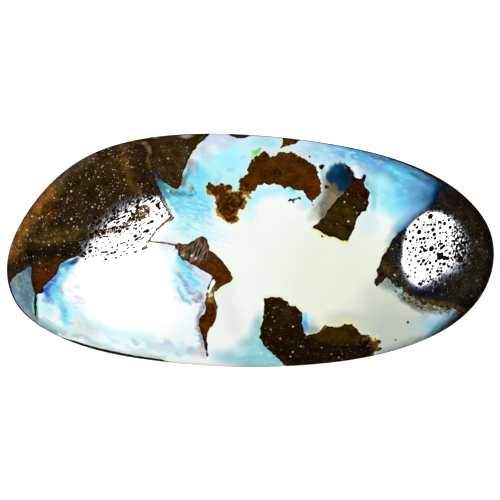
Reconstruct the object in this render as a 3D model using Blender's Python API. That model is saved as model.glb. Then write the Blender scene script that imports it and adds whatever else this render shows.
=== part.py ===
"""A polished boulder opal: one freeform stone of opal grown in ironstone.

The stone lies on its flat back. +Z is up through the dome, +X runs along its
length to the narrower end, and the origin is under its middle, on the back.
Everything is in metres.
"""

import math

import bmesh
import bpy
import numpy as np

# Driving dimensions.
LENGTH = 0.0380
WIDTH = 0.0182
HEIGHT = 0.0066
# Height of the widest line round the stone, where the dome meets the back's edge:
# at the middle, and how much higher it is at the narrow end than at the middle.
GIRDLE_HEIGHT = 0.0019
GIRDLE_RISE = 0.0003
# How far the flat back is set in from the widest line.
BACK_INSET = 0.0021

HALF_LENGTH = LENGTH / 2
HALF_WIDTH = WIDTH / 2

# Points that the outline passes through, going round clockwise from the broad
# end: shares of the half length along X and of the half width along Y.
OUTLINE_POINTS = (
    (-1.000, -0.230),
    (-0.912, 0.341),
    (-0.666, 0.812),
    (-0.420, 0.965),
    (-0.130, 1.000),
    (0.237, 0.940),
    (0.483, 0.846),
    (0.730, 0.666),
    (0.894, 0.431),
    (0.984, 0.150),
    (0.984, -0.220),
    (0.894, -0.525),
    (0.648, -0.823),
    (0.237, -0.985),
    (-0.092, -1.000),
    (-0.420, -0.942),
    (-0.830, -0.697),
    (-0.960, -0.468),
)

# The dome's section is (1 - share ** CROWN_POWER) ** (1 / SHOULDER_POWER), where
# share is 0 at the crown and 1 at the widest line: flat on top, round at the rim.
CROWN_POWER = 2.3
SHOULDER_POWER = 2.15
# The crown stands a little off the middle, towards the narrow end.
CROWN_PLACE = (0.0010, -0.0004)
# Slow waves that hand polishing leaves in the dome.
WAVE_HEIGHT = 0.00006
WAVE_LENGTH = 0.0110

# How finely the solid is faceted.
SEGMENTS = 96
DOME_RINGS = 19
EDGE_RINGS = 6
INNERMOST_SHARE = 0.05
SPLINE_STEPS = 60


def spline_tangents(points, knots):
    """Slopes at the points of the smooth closed curve through them (a periodic cubic spline)."""
    count = len(points)
    system = np.zeros((count, count))
    right = np.zeros((count, 2))
    for i in range(count):
        before = (i - 1) % count
        after = (i + 1) % count
        h0 = knots[before]
        h1 = knots[i]
        system[i, before] = 1 / h0
        system[i, i] = 2 / h0 + 2 / h1
        system[i, after] = 1 / h1
        rise0 = (points[i] - points[before]) / h0**2
        rise1 = (points[after] - points[i]) / h1**2
        right[i] = 3 * (rise0 + rise1)
    return np.linalg.solve(system, right)


def outline():
    """SEGMENTS points of the stone's outline, as an array, evenly spaced along it."""
    points = np.array(OUTLINE_POINTS) * (HALF_LENGTH, HALF_WIDTH)
    spans = np.linalg.norm(np.roll(points, -1, axis=0) - points, axis=1)
    slopes = spline_tangents(points, spans)
    fine = []
    steps = np.linspace(0, 1, SPLINE_STEPS, endpoint=False)[:, None]
    for i, span in enumerate(spans):
        after = (i + 1) % len(points)
        fine.append(
            (2 * steps**3 - 3 * steps**2 + 1) * points[i]
            + (steps**3 - 2 * steps**2 + steps) * span * slopes[i]
            + (3 * steps**2 - 2 * steps**3) * points[after]
            + (steps**3 - steps**2) * span * slopes[after]
        )
    curve = np.concatenate(fine)
    low, high = curve.min(axis=0), curve.max(axis=0)
    curve = (curve - (low + high) / 2) * (LENGTH, WIDTH) / (high - low)
    closed = np.vstack([curve, curve[:1]])
    along = np.concatenate([[0], np.cumsum(np.linalg.norm(np.diff(closed, axis=0), axis=1))])
    wanted = np.linspace(0, along[-1], SEGMENTS, endpoint=False)
    return np.column_stack([np.interp(wanted, along, closed[:, k]) for k in range(2)])


def girdle_height(x):
    """Height of the widest line at x."""
    return GIRDLE_HEIGHT + GIRDLE_RISE * x / HALF_LENGTH


def polishing_wave(x, y, share):
    """Small rise and fall of the dome, which dies away at the widest line."""
    turn = 2 * math.pi / WAVE_LENGTH
    wave = math.sin(turn * x + 0.8) * math.cos(0.7 * turn * y - 0.5)
    return WAVE_HEIGHT * wave * (1 - share**4)


def dome_point(x, y, share):
    """The point of the dome over (x, y), where share is 0 at the crown and 1 at the widest line."""
    section = (1 - share**CROWN_POWER) ** (1 / SHOULDER_POWER)
    girdle = girdle_height(x)
    return (x, y, girdle + (HEIGHT - girdle) * section + polishing_wave(x, y, share))


def dome_rings(edge):
    """Rings of points from just above the widest line up to the one round the crown."""
    rings = []
    for ring in range(1, DOME_RINGS + 1):
        # The angle shares the rings out so that they crowd together at the round rim.
        angle = math.pi / 2 * (1 - ring / (DOME_RINGS + 1))
        share = max(math.sin(angle), INNERMOST_SHARE)
        centre = np.array(CROWN_PLACE) * (1 - share)
        rings.append([dome_point(x, y, share) for x, y in edge * share + centre])
    return rings


def back_rings(edge):
    """Rings of points from the flat back out to the widest line, round in section."""
    rings = []
    for ring in range(EDGE_RINGS + 1):
        angle = math.pi / 2 * ring / EDGE_RINGS
        inset = BACK_INSET * (1 - math.sin(angle))
        rise = 1 - math.cos(angle)
        scale = (1 - inset / HALF_LENGTH, 1 - inset / HALF_WIDTH)
        rings.append([(x, y, girdle_height(x) * rise) for x, y in edge * scale])
    return rings


def ring_edges(shape, ring):
    """Adds a closed loop of edges through the ring's points to the shape, and returns it."""
    verts = [shape.verts.new(point) for point in ring]
    following = verts[1:] + verts[:1]
    return [shape.edges.new(pair) for pair in zip(verts, following)]


def opal_stone_mesh():
    """The stone as one closed mesh: a flat back, a round edge and a low dome."""
    edge = outline()
    shape = bmesh.new()
    loops = [ring_edges(shape, ring) for ring in back_rings(edge) + dome_rings(edge)]
    for lower, upper in zip(loops, loops[1:]):
        bmesh.ops.bridge_loops(shape, edges=lower + upper)
    bmesh.ops.contextual_create(shape, geom=loops[0])
    cap = bmesh.ops.contextual_create(shape, geom=loops[-1])["faces"]
    crown = bmesh.ops.poke(shape, faces=cap)["verts"][0]
    crown.co = dome_point(*CROWN_PLACE, 0)
    bmesh.ops.recalc_face_normals(shape, faces=shape.faces)
    mesh = bpy.data.meshes.new("opal_stone")
    shape.to_mesh(mesh)
    shape.free()
    return mesh


def polished_stone_material():
    """The stone's mean look from above: pale blue opal, polished."""
    material = bpy.data.materials.new("polished_opal")
    material.use_nodes = True
    shader = material.node_tree.nodes["Principled BSDF"]
    shader.inputs["Base Color"].default_value = (0.48, 0.60, 0.60, 1.0)
    shader.inputs["Roughness"].default_value = 0.1
    shader.inputs["Metallic"].default_value = 0.0
    return material


def build():
    """Clears the scene and puts the stone in it."""
    for old in list(bpy.data.objects):
        bpy.data.objects.remove(old)
    mesh = opal_stone_mesh()
    mesh.materials.append(polished_stone_material())
    mesh.shade_smooth()
    mesh.set_sharp_from_angle(angle=math.radians(60))
    stone = bpy.data.objects.new("opal_stone", mesh)
    bpy.context.scene.collection.objects.link(stone)


build()
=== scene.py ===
"""The looks of a polished boulder opal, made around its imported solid.

One stone of milky to blue opal grown in dark brown ironstone lies on its flat
back, seen from straight above. Everything is in metres, in the solid's frame.
What is painted on the stone is placed by the photograph's own 500 pixel frame,
x to the right and y down, and projected onto the dome as the camera sees it.
"""

import logging
import math
from dataclasses import dataclass, field
from enum import Enum
from typing import Iterable, Mapping, Sequence

import bpy
import numpy as np
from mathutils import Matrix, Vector, noise

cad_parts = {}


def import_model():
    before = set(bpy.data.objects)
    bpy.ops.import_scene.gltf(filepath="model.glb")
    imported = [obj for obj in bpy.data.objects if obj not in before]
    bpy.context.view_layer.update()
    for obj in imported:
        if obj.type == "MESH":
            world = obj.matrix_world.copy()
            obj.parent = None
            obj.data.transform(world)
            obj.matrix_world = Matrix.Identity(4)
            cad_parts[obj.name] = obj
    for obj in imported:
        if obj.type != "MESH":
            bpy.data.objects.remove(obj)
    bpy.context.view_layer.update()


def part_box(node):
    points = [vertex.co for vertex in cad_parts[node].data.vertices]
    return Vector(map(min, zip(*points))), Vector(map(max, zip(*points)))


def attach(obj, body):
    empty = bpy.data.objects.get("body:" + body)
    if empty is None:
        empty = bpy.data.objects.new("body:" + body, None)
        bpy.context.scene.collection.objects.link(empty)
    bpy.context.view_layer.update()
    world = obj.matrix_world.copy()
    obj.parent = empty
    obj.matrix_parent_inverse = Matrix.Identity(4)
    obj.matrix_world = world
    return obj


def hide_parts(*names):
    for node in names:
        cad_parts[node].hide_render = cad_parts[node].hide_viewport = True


LOG = logging.getLogger("boulder_opal")

STONE_NODE = "opal_stone"
MILLIMETRE = 0.001
STONE_HEIGHT = 0.0066
CAMERA_HEIGHT = 0.6
# Where the stone's two tips stand in the photograph, in pixels across.
BROAD_TIP = 6.6
NARROW_TIP = 493.9
# The seed of the noise that gives the painted colours natural outlines.
WANDER_SEED = 7
# The depth inside a mark of places that are far outside them all, in pixels.
FAR_OUTSIDE = -1e3

Point = tuple[float, float]
Points = tuple[Point, ...]
Colour = tuple[float, float, float]


def linear(red: int, green: int, blue: int) -> Colour:
    """Turns a display colour of 0 to 255 into the linear colour that a shader takes.

    Args:
        red, green, blue: its channels.

    Returns:
        The linear colour.
    """
    shares = (channel / 255 for channel in (red, green, blue))
    return tuple(s / 12.92 if s <= 0.04045 else ((s + 0.055) / 1.055) ** 2.4 for s in shares)


class Tint(Enum):
    """The colours of the opal and of the ironstone round it, some also laid as painted shade, highlights and
    reflections.
    """

    WHITE = linear(255, 255, 255)
    CREAM = linear(236, 240, 224)
    PALE_CREAM = linear(244, 248, 243)
    GREY_CREAM = linear(190, 201, 186)
    MILK = linear(236, 249, 250)
    LILAC = linear(200, 205, 228)
    PALE_BLUE = linear(172, 208, 228)
    PALE_CYAN = linear(172, 238, 244)
    CYAN = linear(104, 222, 244)
    SKY = linear(88, 172, 218)
    PERIWINKLE = linear(104, 158, 214)
    COBALT = linear(38, 84, 214)
    DEEP_BLUE = linear(12, 74, 122)
    NAVY = linear(5, 30, 52)
    TEAL = linear(62, 136, 138)
    TURQUOISE = linear(134, 198, 204)
    GREEN = linear(112, 224, 128)
    SEA_GREEN = linear(104, 236, 204)
    GREY_BLUE = linear(100, 130, 144)
    GREY_GREEN = linear(138, 160, 150)
    # Laid as a grey mark, and as painted shade along the steep lower rim.
    GREY_AND_RIM_SHADE = linear(118, 126, 130)
    TAN = linear(186, 150, 110)
    PALE_TAN = linear(226, 214, 184)
    OLIVE_HAZE = linear(104, 100, 66)
    STRAW = linear(238, 230, 158)
    INK_BLUE = linear(10, 50, 78)

    DARK_BROWN = linear(46, 30, 12)
    UMBER = linear(62, 46, 16)
    NEAR_BLACK = linear(19, 13, 6)
    BLACK_BROWN = linear(30, 17, 4)
    CHOCOLATE = linear(77, 39, 1)
    RED_BROWN = linear(82, 36, 2)
    RUST = linear(98, 42, 4)
    OCHRE = linear(150, 94, 24)
    DULL_OCHRE = linear(104, 76, 22)
    OLIVE = linear(92, 76, 22)
    YELLOW_OCHRE = linear(186, 140, 40)
    BLUE_BLACK = linear(22, 20, 34)
    TAUPE = linear(92, 72, 52)
    SOOT = linear(35, 32, 22)
    DARK_OLIVE = linear(54, 38, 4)
    DARK_RED = linear(50, 20, 2)

    def pool(
        self, strength: float, x: float, y: float, long: float, wide: float,
        turn: float = 0.0, core: float = 0.3,
    ) -> "Wash":
        """Lays this colour in a pool, with its middle at x and y and half axes long and wide."""
        return Wash(self, Pool((x, y), (long, wide), turn, core), strength)

    def streak(self, strength: float, points: Points, width: float, core: float = 0.2) -> "Wash":
        """Lays this colour in a streak along a run of lines."""
        return Wash(self, Streak(points, width, core), strength)

    def fill(self, strength: float, outline: Points, soft: float = 4.0) -> "Wash":
        """Fills an outline with this colour."""
        return Wash(self, Fill(outline, soft), strength)


@dataclass(frozen=True)
class View:
    """The photograph's view: a camera straight above the stone's middle.

    Attributes:
        height: how far the camera stands above the stone's widest line.
        widest: height of that line over the surface that the stone lies on.
        scale: metres to a pixel, at the widest line.
        middle: the pixel, across and down, at the stone's middle.
        frame: pixels along each side of the picture.
    """

    height: float
    widest: float
    scale: float
    middle: float = 250.25
    frame: int = 500

    @property
    def place(self) -> np.ndarray:
        """The camera's place."""
        return np.array((0.0, 0.0, self.height + self.widest))

    def pixels(self, points: np.ndarray) -> np.ndarray:
        """Projects points of the stone onto the picture.

        Args:
            points: places in metres, one a row.

        Returns:
            Pixel places, x and y, one a row.
        """
        nearer = self.height / (self.height + self.widest - points[:, 2])
        flat = points[:, :2] * nearer[:, None] / self.scale
        return np.column_stack([self.middle + flat[:, 0], self.middle - flat[:, 1]])

    def above(self, pixel: Point, form: "StoneForm") -> np.ndarray:
        """Finds the point of the dome that a pixel shows.

        Args:
            pixel: its place in the picture.
            form: the stone's shape.

        Returns:
            The point, in metres.
        """
        x = (pixel[0] - self.middle) * self.scale
        y = (self.middle - pixel[1]) * self.scale
        height = self.widest
        for _ in range(4):
            nearer = self.height / (self.height + self.widest - height)
            height = form.dome_height(np.array([[x / nearer, y / nearer]]))[0]
        return np.array((x / nearer, y / nearer, height))


@dataclass(frozen=True)
class StoneForm:
    """The stone's shape, by the same rules as its solid.

    Attributes:
        length, width, height: its overall size.
        girdle, girdle_rise: height of its widest line at the middle, and how much higher it
            is at the narrow tip.
        back_inset: how far the flat back is set in from the widest line.
        crown: the place of its highest point, x and y.
        crown_power, shoulder_power: how flat the dome is on top, and how round at the rim.
        wave_height, wave_length: the slow waves that hand polishing left.
        corners: points that the outline passes through, as shares of half its length and width.
        curve: the outline, as many fine points.
        bearings, reaches: directions from the crown, and how far the outline is in each.
    """

    length: float
    width: float
    height: float
    girdle: float = 0.0019
    girdle_rise: float = 0.0003
    back_inset: float = 0.0021
    crown: Point = (0.0010, -0.0004)
    crown_power: float = 2.3
    shoulder_power: float = 2.15
    wave_height: float = 0.00006
    wave_length: float = 0.0110
    corners: Points = (
        (-1.000, -0.230), (-0.912, 0.341), (-0.666, 0.812), (-0.420, 0.965), (-0.130, 1.000),
        (0.237, 0.940), (0.483, 0.846), (0.730, 0.666), (0.894, 0.431), (0.984, 0.150),
        (0.984, -0.220), (0.894, -0.525), (0.648, -0.823), (0.237, -0.985), (-0.092, -1.000),
        (-0.420, -0.942), (-0.830, -0.697), (-0.960, -0.468),
    )
    curve: np.ndarray = field(init=False, repr=False)
    bearings: np.ndarray = field(init=False, repr=False)
    reaches: np.ndarray = field(init=False, repr=False)

    def __post_init__(self) -> None:
        """Works out the outline, and how far it is from the crown in each direction."""
        curve = self._outline()
        arms = curve - self.crown
        bearings = np.arctan2(arms[:, 1], arms[:, 0])
        order = np.argsort(bearings)
        object.__setattr__(self, "curve", curve)
        object.__setattr__(self, "bearings", bearings[order])
        object.__setattr__(self, "reaches", np.linalg.norm(arms, axis=1)[order])

    def _outline(self, steps: int = 60) -> np.ndarray:
        """The outline, a smooth closed curve through the corners, as many fine points.

        Args:
            steps: fine points from one corner to the next.

        Returns:
            The points, one a row.
        """
        points = np.array(self.corners) * (self.length / 2, self.width / 2)
        spans = np.linalg.norm(np.roll(points, -1, axis=0) - points, axis=1)
        count = len(points)
        system, right = np.zeros((count, count)), np.zeros((count, 2))
        for i in range(count):
            before, after = (i - 1) % count, (i + 1) % count
            system[i, before] = 1 / spans[before]
            system[i, i] = 2 / spans[before] + 2 / spans[i]
            system[i, after] = 1 / spans[i]
            right[i] = 3 * (points[i] - points[before]) / spans[before] ** 2
            right[i] += 3 * (points[after] - points[i]) / spans[i] ** 2
        slopes = np.linalg.solve(system, right)
        s = np.linspace(0, 1, steps, endpoint=False)[:, None]
        fine = []
        for i, span in enumerate(spans):
            after = (i + 1) % count
            fine.append(
                (2 * s**3 - 3 * s**2 + 1) * points[i]
                + (s**3 - 2 * s**2 + s) * span * slopes[i]
                + (3 * s**2 - 2 * s**3) * points[after]
                + (s**3 - s**2) * span * slopes[after]
            )
        curve = np.concatenate(fine)
        low, high = curve.min(axis=0), curve.max(axis=0)
        return (curve - (low + high) / 2) * (self.length, self.width) / (high - low)

    def edge(self, turns: np.ndarray) -> np.ndarray:
        """Points of the outline.

        Args:
            turns: how far round each is, from 0 to 1 by length, anticlockwise from the broad tip.

        Returns:
            The points, x and y, one a row.
        """
        curve = self.curve[::-1]
        start = int(np.argmin(curve[:, 0]))
        curve = np.roll(curve, -start, axis=0)
        closed = np.vstack([curve, curve[:1]])
        along = np.concatenate([[0], np.cumsum(np.linalg.norm(np.diff(closed, axis=0), axis=1))])
        wanted = (turns % 1) * along[-1]
        return np.column_stack([np.interp(wanted, along, closed[:, k]) for k in range(2)])

    def share(self, places: np.ndarray) -> np.ndarray:
        """How far out places are.

        Args:
            places: the places, one a row.

        Returns:
            0 at the crown, and 1 on the outline.
        """
        arms = places[:, :2] - self.crown
        bearing = np.arctan2(arms[:, 1], arms[:, 0])
        reach = np.interp(bearing, self.bearings, self.reaches, period=2 * math.pi)
        return np.linalg.norm(arms, axis=1) / reach

    def girdle_height(self, x: np.ndarray) -> np.ndarray:
        """Height of the widest line at x."""
        return self.girdle + self.girdle_rise * x / (self.length / 2)

    def dome_height(self, places: np.ndarray) -> np.ndarray:
        """Height of the polished dome over places.

        Args:
            places: the places, x and y, one a row.

        Returns:
            The heights.
        """
        share = np.clip(self.share(places), 0, 1)
        section = (1 - share**self.crown_power) ** (1 / self.shoulder_power)
        turn = 2 * math.pi / self.wave_length
        wave = np.sin(turn * places[:, 0] + 0.8) * np.cos(0.7 * turn * places[:, 1] - 0.5)
        girdle = self.girdle_height(places[:, 0])
        return girdle + (self.height - girdle) * section + self.wave_height * wave * (1 - share**4)

    def normal(self, place: np.ndarray, step: float = 0.0004) -> np.ndarray:
        """The dome's upward normal at a place, over a step wide enough to smooth its waves.

        Args:
            place: the place.
            step: half the step.

        Returns:
            The normal, of length 1.
        """
        around = np.array(((step, 0), (-step, 0), (0, step), (0, -step))) + place[:2]
        right, left, far, near = self.dome_height(around)
        slope = np.array(((left - right) / (2 * step), (near - far) / (2 * step), 1.0))
        return slope / np.linalg.norm(slope)


def polyline_distance(pixels: np.ndarray, points: Sequence[Point], closed: bool) -> np.ndarray:
    """Distance from each place to a run of straight lines.

    Args:
        pixels: the places, one a row.
        points: the run's corners.
        closed: whether the last corner joins the first.

    Returns:
        The distances.
    """
    corners = np.array(points, float).reshape(-1, 2)
    if len(corners) == 1:
        return np.linalg.norm(pixels - corners[0], axis=1)
    ends = np.roll(corners, -1, axis=0) if closed else corners[1:]
    nearest = np.full(len(pixels), np.inf)
    for start, end in zip(corners, ends):
        line = end - start
        share = np.clip((pixels - start) @ line / (line @ line), 0, 1)
        gap = pixels - start - share[:, None] * line
        nearest = np.minimum(nearest, np.einsum("ij,ij->i", gap, gap))
    return np.sqrt(nearest)


def inside_depth(pixels: np.ndarray, outline: Sequence[Point]) -> np.ndarray:
    """How deep each place lies inside a closed outline; outside it, the distance below 0.

    Args:
        pixels: the places, one a row.
        outline: its corners.

    Returns:
        The depths, in pixels.
    """
    corners = np.array(outline, float)
    odd = np.zeros(len(pixels), bool)
    for (x0, y0), (x1, y1) in zip(corners, np.roll(corners, -1, axis=0)):
        if y0 == y1:
            continue
        crosses = (y0 > pixels[:, 1]) != (y1 > pixels[:, 1])
        odd ^= crosses & (pixels[:, 0] < x0 + (pixels[:, 1] - y0) * (x1 - x0) / (y1 - y0))
    distance = polyline_distance(pixels, outline, closed=True)
    return np.where(odd, distance, -distance)


def fade(values: np.ndarray, full: float, none: float) -> np.ndarray:
    """Falls smoothly from 1, where values reach full, to 0, where they reach none.

    Args:
        values: the values.
        full, none: where the fall starts and ends.

    Returns:
        The shares, from 1 to 0.
    """
    share = np.clip((values - none) / (full - none), 0, 1)
    return share * share * (3 - 2 * share)


def turned(offsets: np.ndarray, degrees: float) -> tuple[np.ndarray, np.ndarray]:
    """Takes offsets in the picture apart into those along and across a turned axis.

    Args:
        offsets: the offsets in pixels, x and y down, one a row.
        degrees: how far the axis is turned from the picture's x, anticlockwise.

    Returns:
        The offsets along it, and those across it.
    """
    angle = math.radians(degrees)
    along = offsets[:, 0] * math.cos(angle) - offsets[:, 1] * math.sin(angle)
    across = offsets[:, 0] * math.sin(angle) + offsets[:, 1] * math.cos(angle)
    return along, across


@dataclass(frozen=True)
class Pool:
    """A soft ellipse in the picture, full in its middle.

    Attributes:
        middle, radii: its place and its half axes, in pixels.
        turn: how far its first axis is turned from the picture's x, in degrees, anticlockwise.
        core: share of its radius that is full.
    """

    middle: Point
    radii: Point
    turn: float = 0.0
    core: float = 0.3

    def cover(self, pixels: np.ndarray) -> np.ndarray:
        """How much of each place it covers.

        Args:
            pixels: the places, one a row.

        Returns:
            The shares, from 0 to 1.
        """
        along, across = turned(pixels - self.middle, self.turn)
        return fade(np.hypot(along / self.radii[0], across / self.radii[1]), self.core, 1.0)


@dataclass(frozen=True)
class Streak:
    """A soft band along a run of lines.

    Attributes:
        points: its corners, in pixels.
        width: its whole width, in pixels.
        core: share of its half width that is full.
    """

    points: Points
    width: float
    core: float = 0.2

    def cover(self, pixels: np.ndarray) -> np.ndarray:
        """How much of each place it covers.

        Args:
            pixels: the places, one a row.

        Returns:
            The shares, from 0 to 1.
        """
        gap = polyline_distance(pixels, self.points, closed=False) / (self.width / 2)
        return fade(gap, self.core, 1.0)


@dataclass(frozen=True)
class Fill:
    """The inside of an outline, softened at its edge.

    Attributes:
        outline: its corners, in pixels.
        soft: width of the softened edge, in pixels.
    """

    outline: Points
    soft: float = 4.0

    def cover(self, pixels: np.ndarray) -> np.ndarray:
        """How much of each place it covers.

        Args:
            pixels: the places, one a row.

        Returns:
            The shares, from 0 to 1.
        """
        return fade(inside_depth(pixels, self.outline), self.soft / 2, -self.soft / 2)


Shape = Pool | Streak | Fill


@dataclass(frozen=True)
class Spots:
    """Small oval marks with sharp edges, all drawn out the same way.

    Attributes:
        places: each one's place, across and down, and its radius, in pixels.
        turn: how far they are drawn out from the picture's x, in degrees, anticlockwise.
        stretch: how many times longer than wide they are.
    """

    places: tuple[tuple[float, float, float], ...]
    turn: float = 0.0
    stretch: float = 1.0

    def depth(self, pixels: np.ndarray) -> np.ndarray:
        """How deep inside a mark each place lies, in pixels; below 0 outside them all.

        Args:
            pixels: the places, one a row.

        Returns:
            The depths.
        """
        depth = np.full(len(pixels), FAR_OUTSIDE)
        for x, y, radius in self.places:
            along, across = turned(pixels - (x, y), self.turn)
            gap = (along / self.stretch) ** 2 + across**2
            depth = np.maximum(depth, (radius**2 - gap) / (2 * radius))
        return depth


@dataclass(frozen=True)
class Wash:
    """A colour laid over part of the stone.

    Attributes:
        tint: the colour.
        shape: where it lies.
        strength: how much of what lies under it it hides.
    """

    tint: Tint
    shape: Shape
    strength: float


def painted(ground: Tint, washes: Iterable[Wash], pixels: np.ndarray) -> np.ndarray:
    """Lays washes over a ground colour, one after another.

    Args:
        ground: the colour under them all.
        washes: the washes, lowest first.
        pixels: the places to colour, one a row.

    Returns:
        A linear colour for each place.
    """
    canvas = np.tile(np.array(ground.value), (len(pixels), 1))
    for wash in washes:
        cover = wash.strength * wash.shape.cover(pixels)[:, None]
        canvas += (np.array(wash.tint.value) - canvas) * cover
    return canvas


class Mask(Enum):
    """The masks painted on the stone, by the names of their attributes.

    PITS and DASHES break the ironstone's polish in round and in drawn out marks, and darken its
    colour there to near black as painted shade in the pits; DULL and FROST take it away in bands
    and in a fine frost. SPECKS, NODULES and HAIRS are the ironstone's pale grains, lumps and
    fibres, and RAGGED is how far its edge wanders. FRINGE is the opal's yellow edge against it,
    and STREAKS, PLAY and CRYSTALS are the opal's fine strokes, its play of colour and its coarse mottling.
    """

    PITS = "pits"
    SPECKS = "specks"
    NODULES = "nodules"
    DASHES = "dashes"
    DULL = "dull"
    FROST = "frost"
    HAIRS = "hairs"
    RAGGED = "ragged"
    FRINGE = "fringe"
    STREAKS = "streaks"
    PLAY = "play"
    CRYSTALS = "crystals"


def covered(ground: float, marks: Iterable[tuple[float, Shape]], pixels: np.ndarray) -> np.ndarray:
    """Raises or lowers a mask in some places.

    Args:
        ground: its level elsewhere.
        marks: levels and the shapes they fill, lowest first.
        pixels: the places, one a row.

    Returns:
        The mask's level at each place.
    """
    level = np.full(len(pixels), ground)
    for value, shape in marks:
        level += (value - level) * shape.cover(pixels)
    return level


@dataclass(frozen=True)
class Ironstone:
    """Where ironstone comes through the opal, as the photograph shows it, in pixels.

    Attributes:
        patches: outlines of its patches, by name. Those that reach the rim run past it.
        veins: thin lines of ironstone, each with its width.
        specks: round specks of ironstone, each a place and a radius.
    """

    patches: Mapping[str, Points]
    veins: tuple[tuple[float, Points], ...]
    specks: tuple[tuple[float, float, float], ...]

    def depth(self, pixels: np.ndarray) -> np.ndarray:
        """How deep inside ironstone each place lies, in pixels; below 0 in opal.

        Args:
            pixels: the places, one a row.

        Returns:
            The depths.
        """
        depth = np.full(len(pixels), FAR_OUTSIDE)
        for outline in self.patches.values():
            depth = np.maximum(depth, inside_depth(pixels, outline))
        for width, points in self.veins:
            depth = np.maximum(depth, width / 2 - polyline_distance(pixels, points, closed=False))
        for x, y, radius in self.specks:
            depth = np.maximum(depth, radius - np.hypot(pixels[:, 0] - x, pixels[:, 1] - y))
        return depth


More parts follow.
